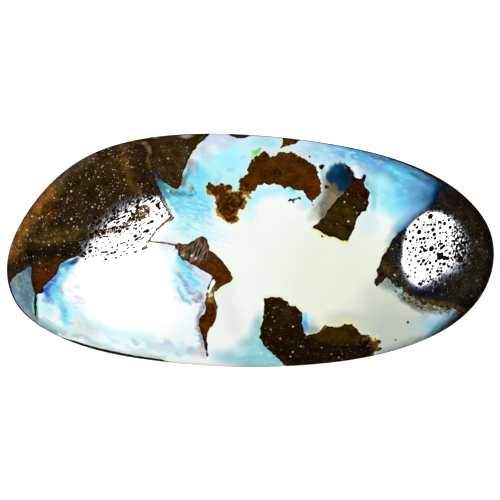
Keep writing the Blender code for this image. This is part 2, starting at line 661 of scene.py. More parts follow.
IRONSTONE = Ironstone(
    patches={
        "broad_end": (
            (8, 286), (-20, 286), (-20, 110), (152, 110), (152, 160), (154.2, 175), (157.5, 185),
            (162, 194), (165, 200), (170, 210), (174.5, 218), (165, 223), (159, 228), (154, 234.5),
            (150, 240), (146, 249), (128, 256), (116, 259), (104, 262), (86, 260), (78, 256.5),
            (65, 261), (61.6, 263), (58, 270), (57, 273), (53.6, 277), (47.3, 283.6), (43.8, 287),
            (45, 289.4), (43.8, 292.5), (38.4, 293.8), (36.8, 296), (36.9, 304), (36.5, 316),
            (34.8, 316), (34.2, 304), (34.4, 293), (31.3, 282), (30.8, 277), (31.7, 268.5),
            (30.4, 266.6), (24, 270), (18, 274), (13.4, 278), (9.8, 283.6),
        ),
        "tongue": (
            (148, 110), (148, 158), (154.4, 171), (158.6, 178), (163.8, 182.7), (170.9, 187),
            (174.5, 189), (177, 189.8), (180.7, 185.4), (182.5, 180), (183.4, 172), (185.2, 167.5),
            (187.9, 161), (190.5, 155), (195, 148.8), (200.4, 142.5), (205.7, 138), (212, 132),
            (216, 110),
        ),
        "arch": (
            (238.1, 189.1), (240.3, 183.1), (236.5, 180.4), (240.8, 179.9), (246.3, 174.5),
            (249, 166.9), (251.7, 160.4), (257.7, 155), (264.2, 151.1), (268, 153.3), (270.1, 157.1),
            (275.6, 155.5), (281, 152.2), (288.6, 151.7), (295.1, 153.3), (300.5, 157.1),
            (305.9, 160.4), (311.3, 163.6), (315.7, 167.4), (318.9, 173.4), (320.6, 179.9),
            (321.6, 191.8), (317.9, 195.1), (314.1, 199.4), (313, 205.4), (310.8, 202.7),
            (308.6, 198.9), (304.8, 193.4), (299.4, 190.7), (294, 189.1), (289.7, 187.5),
            (283.1, 189.1), (280.4, 185.9), (276.6, 184.2), (270.1, 183.7), (263.6, 184.2),
            (259.3, 186.4), (256, 189.1), (251.7, 192.4), (249, 195.1), (244.1, 194.5),
        ),
        "honeycomb": (
            (209.3, 182.7), (205.7, 187.1), (206.2, 191.6), (210.2, 195.2), (214.6, 196.1),
            (214.6, 201.4), (216.4, 205.9), (215.1, 209.5), (218.2, 214.8), (222.7, 219.3),
            (227.1, 222.9), (231.6, 223.8), (237, 222.9), (239.2, 219.3), (237, 214.8),
            (239.6, 210.4), (244.1, 207.7), (248.6, 205), (249, 201.4), (245.9, 199.6),
            (245, 196.1), (248.6, 193.4), (243, 189), (238.8, 190.7), (235.2, 191.6),
            (231.6, 189.8), (231.6, 187.1), (228, 184), (221.8, 183.6), (218.2, 185.4),
            (214.6, 184), (211.1, 182.7),
        ),
        "slab": (
            (364.5, 173.9), (366.1, 176.1), (365, 181), (363.4, 184.2), (367.7, 188.6),
            (369.9, 192.9), (368.8, 199.4), (367.7, 205.9), (366.1, 210.8), (361.8, 212.4),
            (358, 217.9), (355.8, 223.3), (354.2, 228.7), (351.5, 234.1), (348.8, 238.5),
            (348.2, 241.7), (343.3, 241.7), (338.5, 239), (333, 236.8), (328.2, 236.8),
            (324.4, 233.6), (318.9, 230.9), (313, 228.2), (313.5, 226), (318.9, 221.1),
            (324.4, 217.3), (327.1, 211.4), (329.8, 207), (336.3, 199.4), (342.8, 194),
            (348.2, 187.5), (352.6, 181), (354.7, 177.2), (359.1, 178.8), (361.8, 179.4),
            (362.9, 174.5),
        ),
        "foot": (
            (264, 297.1), (267.6, 298.2), (272.7, 297.1), (277.8, 296.6), (281.8, 298.2),
            (286.9, 301.7), (290, 304.8), (295.1, 306.3), (299.2, 309.4), (302.2, 312.4),
            (302.8, 317.6), (302.2, 324.7), (303.3, 330.8), (306.3, 334.9), (311.4, 334.4),
            (317.6, 332.9), (321.6, 329.8), (322.1, 327.2), (325.2, 324.2), (327.8, 326.7),
            (333.9, 327.2), (340, 326.2), (345.1, 323.7), (351.2, 324.7), (356.3, 327.8),
            (359.4, 330.8), (360.4, 334.9), (364.5, 334.9), (367.6, 333.4), (369.6, 336.4),
            (372.7, 340.5), (375.7, 336.9), (377.2, 339.5), (381.8, 340.5), (381.3, 343.1),
            (377.8, 344.1), (380.8, 348.2), (377.8, 351.2), (373.7, 353.3), (373.7, 380),
            (292, 380), (283.9, 365), (278.8, 359.4), (272.7, 354.3), (267.6, 349.2),
            (263.5, 345.1), (261.9, 341), (258.9, 336.4), (260.9, 332.9), (260.4, 327.8),
            (263, 322.7), (263, 315.5), (264.5, 306.3), (264.5, 301.2),
        ),
        "neck": (
            (174.5, 245.6), (177.1, 242.9), (179.8, 242.5), (182.5, 244.3), (187.9, 243.4),
            (193.2, 241.2), (196.8, 238), (200.4, 236.3), (203, 235.4), (205.3, 237.1),
            (207.5, 240.7), (208.8, 246.1), (209.7, 250.5), (212.9, 251.9), (217.3, 255.9),
            (222.7, 261.3), (227.1, 266.6), (230.7, 272.9), (233, 278.7), (229.8, 282.7),
            (223.6, 285.4), (220, 288), (215.5, 291.6), (213.8, 293.8), (214.2, 297.9),
            (216, 302.3), (217.3, 306.8), (217.3, 312.1), (216, 319.3), (212.9, 325.5),
            (209.3, 329.1), (207.5, 332.7), (207, 338.9), (207.5, 346.1), (208.2, 355),
            (207.5, 357.7), (205.7, 353.2), (204.4, 346.1), (203, 338.9), (200.8, 332.7),
            (199, 326.4), (199, 319.3), (201.3, 316.6), (204.8, 313), (206.6, 308.6),
            (204.8, 303.2), (205.3, 298.8), (208.4, 294.3), (211.1, 290.7), (213.8, 285.4),
            (215.1, 281.8), (214.6, 279.1), (211.1, 275.5), (205.7, 272), (200.4, 269.3),
            (195, 265.7), (190.5, 264.5), (187, 261.3), (181.6, 259.5), (178, 255),
            (178, 250.5), (175.4, 248.8),
        ),
        "narrow_end": (
            (520, 150), (462, 170), (447, 178), (442, 185.5), (438.6, 190), (436, 195),
            (434, 203), (431.6, 208), (427, 211.6), (418, 217.9), (412.9, 221.4), (405.7, 227.7),
            (399.5, 232.1), (393.2, 238.4), (389.6, 244.6), (386, 250.9), (381.6, 258),
            (379.4, 264.3), (376.7, 270.5), (377.1, 275.9), (374.5, 281.3), (375.8, 286.6),
            (378.5, 286.5), (380.8, 283.1), (383.3, 279), (386.6, 277.3), (389.1, 279.8),
            (391.6, 283.1), (396.5, 286.4), (403.2, 288.1), (404.8, 293.1), (409.8, 295.6),
            (414.8, 298.9), (419.8, 301.4), (423.1, 305.5), (428, 303.8), (433, 304.7),
            (440.5, 306.3), (446.3, 308.8), (452.9, 308.8), (459.6, 311.3), (457.9, 315.5),
            (454.6, 319.6), (449.6, 322.9), (452, 340), (520, 340),
        ),
        "top_chip": (
            (283, 130), (302, 130), (300.5, 140.3), (295, 143.6), (287.5, 146.3), (281, 147.9),
            (282.8, 143),
        ),
        "top_lens": ((228, 130), (249, 130), (249.5, 136), (243, 138.6), (236, 138), (229.5, 135)),
    },
    veins=(
        (1.9, ((150.4, 241.6), (161, 242.5), (167.3, 243.4), (175, 245))),
        (1.5, ((144.4, 249.4), (147.4, 247.6))),
        (0.8, ((140.6, 246.6), (143.6, 245.2), (146.4, 244.6))),
        (1.8, ((288.8, 201.0), (290.6, 199.6), (292.6, 200.6))),
        (1.4, ((292.6, 200.6), (294.6, 199.0), (296.8, 199.4), (298.6, 198.0), (300.4, 199.0))),
        (1.6, ((213.4, 276.5), (210.4, 282), (208.2, 288), (206.6, 296))),
        (1.0, ((174, 218), (165, 223.4), (159, 228.4), (154.2, 234.8), (150.6, 240.6))),
    ),
    specks=(
        (322.2, 165.6, 2.0), (321.4, 167.4, 1.7), (326.3, 186.4, 1.9), (300, 151.2, 0.9),
        (309, 158.4, 0.9), (250, 197.2, 1.1), (246.5, 203, 1.2), (346.4, 166, 1.4),
        (348.4, 168.2, 2.3), (349.8, 171.4, 2.0), (351.6, 174.0, 2.5), (353, 178.0, 2.2),
        (344.2, 163.4, 0.9),
        (408.2, 322.4, 1.3), (395.8, 340.4, 1.1), (293.3, 202.6, 0.8), (322, 236.4, 0.9),
    ),
)

ARCH_ZONE: Points = (
    (240, 146), (330, 146), (330, 204), (312, 210), (300, 196), (262, 190), (252, 198), (232, 190),
)
HONEYCOMB_ZONE: Points = (
    (200, 180), (232, 180), (250, 190), (253, 208), (238, 228), (220, 226), (204, 200),
)
SLAB_ZONE: Points = ((308, 225), (350, 172), (374, 172), (374, 212), (350, 246), (308, 236))
FOOT_ZONE: Points = (
    (254, 292), (290, 292), (304, 310), (308, 328), (352, 318), (390, 336), (390, 375), (254, 375),
)
LOBE_ZONE: Points = (
    (306, 337), (320, 333), (325, 327), (344, 324.5), (356, 328), (360, 335), (358, 343), (340, 346),
    (322, 342),
)
NECK_ZONE: Points = (
    (170, 232), (214, 232), (240, 276), (222, 362), (196, 362), (196, 270), (170, 262),
)
HAZE_ZONE: Points = (
    (316, 213), (321, 194), (323, 178), (330, 178), (358, 184), (344, 206), (326, 226), (318, 226),
)
# Where painted shade greys the steep lower rim below the narrow end.
RIM_SHADE_ZONE: Points = (
    (384, 356), (402, 345), (418, 338), (432, 330), (446, 318), (465, 330), (400, 366),
)
NECK_SIDE_ZONE: Points = (
    (178, 260), (190, 263), (208, 273), (212, 280), (205, 292), (188, 296), (178, 280),
)
BLOB: Points = (
    (326.5, 180), (327, 173), (330, 168), (331, 165), (334, 164.5), (335.5, 162), (338.5, 162.5),
    (340.5, 160.5), (343, 162), (345, 162), (347, 165), (350, 168), (354, 175), (353, 186),
    (345, 193), (338, 191.5), (331, 186.5),
)
NARROW_ZONE: Points = (
    (370, 290), (384, 240), (428, 206), (440, 178), (470, 160), (520, 200), (520, 345), (440, 345),
    (446, 306), (404, 296),
)

OPAL_WASHES: tuple[Wash, ...] = (
    # The milky middle, with painted shade making it greyer towards the narrow end's lower side.
    Tint.CREAM.pool(1.0, 350, 285, 110, 80, -20, 0.4),
    Tint.GREY_CREAM.pool(0.95, 406, 342, 84, 56, -28),
    Tint.PALE_CYAN.streak(0.85, ((250, 202), (262, 192), (280, 190), (298, 195), (308, 204)), 22, 0.0),
    Tint.LILAC.pool(0.3, 302, 206, 9, 7),
    Tint.GREY_CREAM.streak(0.22, ((228, 292), (230, 312), (238, 330)), 34, 0.0),
    Tint.GREY_CREAM.pool(0.4, 382, 296, 34, 26, -28, 0.2),
    # The side under the left light: milky opal, laid over with pure white
    # as a painted highlight where the left gleam washes it out.
    Tint.MILK.pool(1.0, 120, 300, 100, 80, 0, 0.7),
    Tint.WHITE.pool(1.0, 124, 296, 84, 58, -8, 0.6),
    Tint.PALE_BLUE.pool(0.3, 168, 242, 16, 12),
    # The upper side, from the tongue to the arch.
    Tint.PALE_BLUE.pool(0.6, 262, 146, 110, 30, -3, 0.5),
    Tint.PALE_CYAN.pool(0.9, 225, 172, 36, 42, 0, 0.5),
    Tint.CYAN.pool(0.9, 184, 184, 40, 34, -20, 0.4),
    Tint.CYAN.pool(0.2, 231, 160, 13, 17),
    Tint.LILAC.pool(0.9, 218, 143, 24, 11, 10, 0.5),
    Tint.PALE_CREAM.pool(0.5, 213, 150, 10, 8),
    Tint.LILAC.pool(0.4, 206, 154, 11, 13),
    Tint.PALE_CYAN.pool(0.9, 266, 143, 24, 6),
    Tint.TURQUOISE.pool(0.4, 266, 143, 18, 6, 0, 0.4),
    Tint.PALE_BLUE.pool(0.45, 205, 157, 9, 9),
    Tint.CYAN.pool(0.7, 204, 176, 9, 12, 20, 0.1),
    Tint.CYAN.pool(0.8, 190, 206, 32, 22, -20, 0.5),
    Tint.PALE_CYAN.pool(1.0, 196, 229, 36, 18, -10),
    Tint.MILK.pool(0.5, 198, 230, 20, 12, -10),
    Tint.MILK.pool(0.7, 219, 236, 18, 18),
    Tint.MILK.pool(0.6, 166, 236, 20, 7, 10),
    Tint.DEEP_BLUE.streak(0.95, ((150, 162), (155, 174), (160, 184)), 10, 0.6),
    Tint.BLUE_BLACK.streak(0.6, ((151, 165), (155, 176)), 5),
    Tint.LILAC.streak(0.6, ((150.5, 164), (153, 171)), 2.6),
    Tint.DEEP_BLUE.streak(0.7, ((158, 184), (163, 191), (168, 197)), 9, 0.3),
    Tint.NAVY.streak(0.5, ((152, 166), (157, 180), (161, 189)), 7),
    Tint.TEAL.streak(0.9, ((160, 184), (168, 190), (176, 194), (184, 193)), 8, 0.3),
    Tint.SKY.streak(0.45, ((164, 196), (170, 203), (175, 209)), 9, 0.3),
    Tint.MILK.streak(0.5, ((168, 203), (172, 212), (176, 220)), 7),
    Tint.SEA_GREEN.pool(0.75, 167.5, 191, 4, 2.6, -20),
    Tint.WHITE.pool(0.8, 168.5, 191, 1.6, 1.2),
    Tint.SKY.pool(0.9, 188, 194.5, 6, 3.4, 15),
    Tint.DEEP_BLUE.pool(0.7, 190, 194, 3.4, 2.0, 15),
    Tint.LILAC.streak(0.8, ((183, 203), (190, 200), (195, 196)), 3.4),
    Tint.SKY.pool(0.6, 193, 169, 9, 9, 0, 0.4),
    Tint.TAN.pool(0.55, 191, 166, 5, 4.5, 30, 0.1),
    Tint.LILAC.pool(0.7, 194, 171, 4.5, 5),
    Tint.TAN.pool(0.95, 191.3, 186.5, 3.6, 5, 0, 0.6),
    Tint.PALE_TAN.pool(0.8, 190.2, 184.5, 1.8, 2.2, 0, 0.5),
    Tint.NEAR_BLACK.pool(0.95, 193.2, 187.6, 1.6, 2.0, 0, 0.5),
    Tint.NEAR_BLACK.pool(0.9, 195, 192, 0.9, 3.0, 0, 0.5),
    Tint.NEAR_BLACK.pool(0.8, 189.6, 190.6, 1.2, 1.0, 0, 0.5),
    Tint.GREY_BLUE.pool(0.3, 193, 168, 7, 9, 20),
    Tint.STRAW.streak(0.6, ((205, 139), (198, 146), (192, 153), (188, 160)), 4),
    Tint.TAN.pool(0.8, 189.5, 163, 4, 5, -20),
    Tint.PALE_TAN.pool(0.8, 187.4, 170, 2.4, 3),
    Tint.TAN.streak(0.75, ((185, 174), (182.6, 181), (178.4, 188), (173.5, 190.2)), 4.6),
    Tint.TEAL.pool(0.5, 186, 182, 3, 5),
    Tint.YELLOW_OCHRE.streak(0.75, ((178, 188.5), (182, 185), (184, 180)), 3.4, 0.4),
    # The right upper side, bluer towards the narrow end.
    Tint.PALE_BLUE.pool(1.0, 336, 152, 40, 18, -12, 0.5),
    Tint.LILAC.pool(0.5, 312, 157, 14, 9, -20),
    Tint.SKY.pool(0.9, 348, 151, 28, 9, -14, 0.5),
    Tint.SKY.pool(0.95, 382, 166, 42, 20, -28, 0.5),
    Tint.PALE_BLUE.pool(0.6, 364, 172, 14, 10, -20),
    Tint.TURQUOISE.pool(0.6, 382, 184, 22, 18, -20),
    Tint.LILAC.pool(0.8, 352, 161, 6, 4, -20),
    Tint.PALE_BLUE.pool(0.7, 349, 154, 5, 3, -20),
    Tint.PERIWINKLE.fill(0.75, ((366, 156), (377, 155), (386, 160), (388, 168), (378, 171)), 4),
    Tint.DEEP_BLUE.streak(0.6, ((352, 146), (380, 154), (400, 162), (424, 173)), 17, 0.0),
    Tint.SKY.pool(0.95, 412, 186, 36, 34, -35, 0.5),
    Tint.PALE_CYAN.pool(0.9, 382, 194, 20, 26, 20, 0.4),
    Tint.TURQUOISE.streak(0.7, ((365, 176), (370, 186), (374, 198), (374, 210)), 10),
    Tint.GREY_BLUE.pool(0.25, 362, 167, 9, 5, -20),
    Tint.TURQUOISE.pool(0.4, 314, 152, 24, 8, -8),
    Tint.MILK.pool(0.6, 374, 222, 20, 20, 10),
    Tint.PALE_BLUE.pool(0.3, 368, 222, 16, 22),
    Tint.CYAN.pool(0.5, 396, 196, 18, 20),
    Tint.CYAN.pool(0.55, 398, 210, 16, 14, 35),
    Tint.CYAN.streak(0.6, ((386, 166), (398, 173), (410, 178)), 8),
    Tint.SEA_GREEN.pool(1.0, 392, 168.6, 3, 2, -30),
    Tint.SEA_GREEN.streak(0.9, ((395, 170.5), (399, 172.5)), 2.6, 0.3),
    Tint.GREEN.pool(0.7, 393.4, 169.6, 2.2, 1.2, -30),
    Tint.SEA_GREEN.streak(0.7, ((409, 173.5), (412, 175.5), (415.5, 178)), 3.2),
    Tint.PERIWINKLE.pool(0.7, 411, 185, 9, 9),
    Tint.COBALT.pool(0.25, 424, 184, 11, 8, -30),
    Tint.DEEP_BLUE.pool(0.85, 436, 193, 16, 22, -30, 0.1),
    Tint.DEEP_BLUE.streak(0.6, ((412, 172), (428, 178), (440, 184)), 14, 0.0),
    Tint.DEEP_BLUE.pool(0.7, 430, 174, 18, 7, -30),
    Tint.NAVY.pool(1.0, 446, 184, 15, 13, -35),
    Tint.NAVY.streak(0.9, ((446, 182), (439, 191), (435, 202), (429, 211)), 11),
    Tint.SKY.streak(0.8, ((432, 198), (419, 208), (407, 218), (397, 228)), 19, 0.0),
    Tint.TURQUOISE.streak(0.6, ((400, 222), (392, 232), (387, 242)), 12, 0.0),
    Tint.DEEP_BLUE.streak(0.9, ((433, 205), (421, 214), (410, 222), (398, 233)), 13, 0.0),
    Tint.COBALT.streak(0.4, ((410, 223), (402, 229.5), (395, 236)), 6),
    Tint.DEEP_BLUE.pool(0.85, 440, 190, 18, 26, -35, 0.2),
    Tint.DEEP_BLUE.pool(0.6, 426, 198, 22, 18, -35, 0.0),
    Tint.NAVY.pool(0.9, 449, 182, 12, 15, -35),
    Tint.NAVY.streak(0.85, ((448, 176), (441, 184), (437, 196), (431, 208)), 12, 0.0),
    Tint.DEEP_BLUE.streak(0.6, ((366, 148), (384, 155), (404, 163), (426, 173), (442, 182)), 16, 0.0),
    Tint.DEEP_BLUE.pool(0.5, 423, 177, 16, 7, -30),
    Tint.NAVY.streak(0.95, ((438, 194), (430, 209), (414, 220.5), (404, 228.5), (396, 235.5)), 5),
    Tint.GREY_GREEN.streak(0.6, ((394, 236), (390, 243), (386, 253)), 5),
    # Round the arch and the slab.
    Tint.GREEN.pool(1.0, 254, 151.5, 3.4, 3, 30, 0.5),
    Tint.GREEN.pool(1.0, 257, 155, 3, 2.4, 0, 0.5),
    Tint.TEAL.pool(0.8, 255, 154.5, 1.6, 2.4, 30),
    Tint.GREEN.pool(1.0, 251.5, 158, 3.6, 2.6, 45, 0.5),
    Tint.TURQUOISE.pool(0.8, 324, 171, 5, 12),
    Tint.OLIVE_HAZE.fill(0.9, HAZE_ZONE, 10),
    Tint.GREY_GREEN.pool(0.3, 315, 207, 6, 8, -20, 0.2),
    Tint.TURQUOISE.pool(0.35, 320, 196, 4, 7, -20, 0.2),
    Tint.TAN.pool(0.75, 332.5, 194.5, 6, 5, -40, 0.2),
    Tint.TAN.pool(0.4, 330, 199, 3, 4, 0, 0.2),
    Tint.GREY_CREAM.pool(0.85, 313, 214, 6, 11, -30, 0.2),
    Tint.OLIVE.pool(0.6, 322, 214, 4, 5, -40, 0.2),
    Tint.INK_BLUE.fill(1.0, BLOB, 3),
    Tint.OLIVE_HAZE.streak(0.8, ((326, 187), (338, 194), (348, 196)), 8, 0.0),
    Tint.OLIVE.pool(0.6, 340, 194, 5, 3.4, 40),
    Tint.INK_BLUE.pool(0.7, 341, 185, 7, 8, 0, 0.4),
    Tint.OLIVE_HAZE.pool(0.9, 333, 188, 6, 5, 30, 0.2),
    Tint.DEEP_BLUE.pool(0.7, 334, 169, 8, 6),
    Tint.NAVY.pool(0.8, 346, 177, 9, 15, 20),
    Tint.CYAN.pool(1.0, 292, 189.5, 5, 3.2, -20),
    # The lower side.
    Tint.TURQUOISE.pool(0.95, 264, 353, 42, 26, 10, 0.5),
    Tint.PALE_BLUE.pool(0.8, 226, 356, 24, 12),
    Tint.TURQUOISE.pool(0.5, 234, 356, 20, 9),
    Tint.TURQUOISE.pool(0.7, 258, 328, 11, 24, -8, 0.2),
    Tint.GREY_GREEN.pool(0.3, 258, 324, 5, 12, -8, 0.2),
    Tint.TURQUOISE.pool(0.45, 310, 325, 13, 12, 0, 0.2),
    Tint.GREY_GREEN.pool(0.8, 313, 330, 11, 7),
    Tint.CYAN.pool(1.0, 304, 319, 5, 7.5, 0, 0.5),
    Tint.PERIWINKLE.pool(1.0, 305.5, 327.5, 5, 6.5, 0, 0.5),
    Tint.GREY_CREAM.pool(0.6, 348, 320, 36, 12, -4),
    Tint.STRAW.pool(0.35, 350, 321, 26, 6, -4),
    Tint.PALE_BLUE.pool(0.9, 432, 324, 26, 12, 28, 0.1),
    Tint.SKY.pool(0.4, 438, 327, 16, 7, 30),
    Tint.TURQUOISE.pool(0.6, 434, 327, 18, 9, 28),
    Tint.LILAC.pool(0.8, 446, 317, 12, 3.5, 15),
    Tint.SKY.pool(0.35, 450, 314, 14, 8, 28),
    Tint.GREY_GREEN.streak(0.9, ((383, 280), (400, 291), (420, 303), (440, 309), (450, 310)), 19, 0.3),
    Tint.SOOT.streak(0.3, ((385, 278), (396, 288), (412, 299), (426, 305), (446, 307)), 10, 0.0),
    Tint.TEAL.streak(0.5, ((396, 291), (406, 299), (418, 304)), 8),
    Tint.TAUPE.streak(0.7, ((409, 304), (416, 309), (424, 312)), 4),
    Tint.LILAC.pool(0.6, 442, 313, 9, 2.6, 12),
    Tint.OLIVE_HAZE.streak(0.75, ((405, 297), (416, 303), (430, 307), (447, 311)), 13),
    Tint.TURQUOISE.pool(0.45, 424, 320, 14, 9, 28, 0.1),
    Tint.GREY_BLUE.pool(0.25, 426, 315, 10, 4, 28),
    # Painted shade: the steep lower rim below the narrow end turns grey.
    Tint.GREY_GREEN.fill(0.5, RIM_SHADE_ZONE, 8),
    Tint.GREY_AND_RIM_SHADE.streak(0.8, ((378, 360), (400, 353), (414, 347), (428, 340.5), (442, 333)), 16, 0.4),
    Tint.GREY_BLUE.streak(0.75, ((428, 337), (438, 328), (450, 317), (461, 309)), 11),
    Tint.NAVY.streak(0.9, ((434, 337), (444, 328), (454, 319), (463, 310)), 11),
    Tint.TEAL.pool(0.85, 436, 329, 9, 3.6, 38),
    Tint.SKY.streak(0.4, ((440, 321), (451, 314), (460, 307)), 5, 0.0),
    # The left end.
    Tint.GREY_BLUE.fill(1.0, ((0, 262), (37, 262), (38, 296), (38, 326), (20, 324), (4, 300)), 2),
    Tint.GREY_BLUE.streak(0.85, ((30, 316), (42, 325), (56, 333)), 9, 0.4),
    Tint.DEEP_BLUE.pool(0.7, 28.5, 271, 5, 8, 10),
    Tint.SOOT.pool(0.45, 14, 274, 7, 4, 40),
    Tint.GREY_GREEN.pool(0.45, 17, 285, 6, 14, 10),
    Tint.PALE_BLUE.pool(0.35, 17, 300, 4, 9, 30),
    Tint.PALE_BLUE.pool(0.25, 15, 276, 5, 5, 20),
    Tint.SOOT.streak(0.2, ((20, 280), (24, 292), (27, 300)), 9),
    Tint.GREY_GREEN.pool(0.8, 28, 314, 14, 5, -40),
    Tint.SEA_GREEN.streak(0.8, ((33.6, 298), (33.8, 312)), 2.6),
    Tint.SEA_GREEN.streak(0.5, ((38.6, 296), (39, 310)), 3),
    Tint.CYAN.streak(0.8, ((70, 262), (61, 276), (56, 290)), 15),
    Tint.SKY.streak(0.95, ((66, 262), (58, 274), (50, 284), (46, 288)), 12, 0.4),
    Tint.PALE_CYAN.pool(0.9, 62, 270, 4, 5, 30),
    Tint.SKY.pool(0.9, 54, 293, 13, 15, 20),
    Tint.PERIWINKLE.pool(0.7, 46, 301, 6, 5, 20),
    Tint.COBALT.streak(0.95, ((44, 289), (47, 285.5), (52, 280), (56, 275)), 9, 0.4),
    Tint.DEEP_BLUE.streak(0.7, ((46, 285), (50, 280), (55, 274)), 5),
    Tint.COBALT.pool(1.0, 46, 287, 6, 5, 30, 0.5),
    Tint.COBALT.pool(1.0, 49, 294, 5, 5, 0, 0.4),
    Tint.COBALT.pool(0.95, 48, 293, 6, 6, 30, 0.2),
    Tint.CYAN.pool(0.5, 53, 289, 4, 7, 20),
    # Painted shade along the steep lower left rim.
    Tint.GREY_CREAM.streak(0.5, ((40, 322), (58, 330), (76, 337)), 8),
    Tint.DEEP_BLUE.streak(0.6, ((60, 268), (64, 263.5), (72, 260)), 4),
    Tint.PALE_CYAN.streak(0.9, ((58, 296), (64, 306), (68, 316)), 20),
    Tint.CYAN.streak(1.0, ((56, 296), (60, 304), (63, 312), (66, 320)), 12),
    Tint.SKY.pool(0.9, 62, 309, 4, 10, 20),
    Tint.PALE_CYAN.pool(0.7, 46, 310, 10, 10),
    Tint.SKY.pool(0.75, 50, 300, 9, 6, -30),
    Tint.MILK.pool(0.7, 50, 305.5, 4, 2, -20),
    Tint.WHITE.pool(0.6, 42, 305, 2, 3, -20),
    Tint.DEEP_BLUE.pool(1.0, 73, 260, 9, 4, 15),
    Tint.TURQUOISE.streak(0.5, ((42, 320), (54, 327), (66, 331)), 8),
    # Painted shade along the steep lower left rim.
    Tint.GREY_GREEN.streak(0.4, ((72, 335), (86, 340), (100, 345)), 7),
    Tint.PALE_CYAN.streak(0.45, ((74, 306), (84, 322), (110, 334), (150, 338)), 20, 0.0),
    Tint.GREY_CREAM.pool(0.4, 84, 330, 24, 13, -30),
    Tint.GREY_CREAM.streak(0.4, ((76, 316), (82, 330)), 2),
    Tint.GREY_CREAM.streak(0.35, ((82, 314), (88, 328)), 2),
    Tint.PALE_BLUE.streak(0.5, ((150, 346), (170, 349), (194, 352)), 14),
    # Painted shade along the steep lower left rim.
    Tint.GREY_CREAM.streak(0.6, ((90, 345), (130, 354), (165, 358)), 6),
    Tint.LILAC.pool(0.4, 140, 352, 14, 4, -8),
    Tint.TEAL.pool(0.7, 52, 331, 6, 2.5, -35),
    # Streaks beside the neck.
    Tint.PALE_BLUE.fill(0.5, NECK_SIDE_ZONE, 10),
    Tint.CYAN.streak(0.9, ((181, 260), (186, 272), (194, 284)), 14, 0.3),
    Tint.GREY_BLUE.pool(0.6, 191, 267, 5, 4, -30),
    Tint.PERIWINKLE.streak(0.8, ((178, 275), (184, 284), (190, 292)), 7),
    Tint.PALE_CYAN.streak(0.9, ((174, 280), (181, 292), (190, 302)), 8),
    Tint.SKY.streak(0.7, ((177, 288), (184, 298), (190, 304)), 4),
    Tint.LILAC.streak(0.8, ((204, 304), (198, 318), (197, 328), (201, 342), (204, 355)), 9, 0.4),
    Tint.TAUPE.streak(0.65, ((203, 306), (198.5, 317), (198, 330), (202, 346)), 6),
    Tint.LILAC.pool(0.85, 199.5, 298.5, 7, 8, -30, 0.6),
    Tint.TAUPE.pool(0.6, 200, 298, 3.6, 4.6, -30, 0.4),
    Tint.WHITE.pool(0.8, 196.6, 294, 2, 1.8),
    # Painted highlight: the white glint in a small chip beside the neck.
    Tint.WHITE.streak(1.0, ((213.4, 280), (210.8, 285.5), (208.4, 291)), 3.4, 0.5),
    Tint.TAN.pool(0.35, 200, 352, 8, 7, 20),
    # Painted shade at the lower rim below the neck.
    Tint.GREY_BLUE.pool(0.35, 190, 351, 7, 5, -20),
    # Small touches laid over all the rest.
    Tint.GREY_AND_RIM_SHADE.streak(0.6, ((190, 168), (189, 173), (187, 177)), 6),
    Tint.TAUPE.streak(0.55, ((187, 175), (185.8, 180), (183.5, 185)), 4.4, 0.3),
    Tint.GREY_BLUE.pool(0.35, 165, 197, 4, 5),
    Tint.CYAN.pool(0.4, 179, 197.5, 6, 3),
    Tint.TAUPE.pool(0.35, 156.5, 179, 3, 5, -60),
    Tint.TURQUOISE.pool(0.4, 374, 190, 6, 18, 5),
    Tint.TEAL.pool(0.55, 366, 184.5, 4.5, 5),
    Tint.OLIVE.pool(0.35, 331, 195, 8, 6, 50),
    Tint.OLIVE_HAZE.pool(0.3, 322, 204, 7, 6, 50),
    Tint.TAUPE.streak(0.6, ((193, 294), (197, 291.5), (202, 294), (202, 300), (197, 303), (193, 300)), 4),
    Tint.LILAC.pool(0.5, 197, 297, 5, 5),
    Tint.GREY_BLUE.streak(0.5, ((181, 262), (190, 269), (199, 277)), 2.6),
    Tint.GREY_BLUE.streak(0.4, ((174, 250), (180, 258), (188, 264)), 2.2),
    Tint.PALE_CYAN.pool(0.5, 175, 270, 7, 9),
    Tint.SKY.pool(0.35, 429, 190, 7, 9, -30),
    Tint.PALE_CYAN.pool(0.35, 250, 214, 12, 12),
    Tint.MILK.pool(0.5, 298, 202, 9, 5, -30),
    Tint.MILK.pool(0.4, 309, 213, 6, 7),
    Tint.MILK.pool(0.4, 240, 350, 13, 8),
    # Painted shade along the steep lower rim.
    Tint.GREY_GREEN.streak(0.5, ((384, 352), (400, 346), (414, 340)), 13),
    Tint.DEEP_BLUE.pool(0.35, 431, 335, 9, 4, 35),
    Tint.DEEP_BLUE.pool(0.5, 46.6, 284.4, 3.6, 3.6),
    Tint.SKY.pool(0.5, 52, 291, 5, 4),
    Tint.DEEP_BLUE.pool(0.25, 21, 299, 6, 9),
    Tint.GREEN.pool(1.0, 258, 150.6, 3.6, 3, 20, 0.5),
    Tint.GREEN.pool(0.8, 252, 156, 2.6, 3.4, -30),
    Tint.OLIVE_HAZE.pool(0.7, 256.4, 152.4, 2.0, 1.3, 40),
    Tint.OLIVE_HAZE.pool(0.6, 260, 149.4, 1.8, 1.2, 20),
    Tint.TEAL.pool(0.3, 258.6, 151.8, 2.6, 2.0, 20),
)

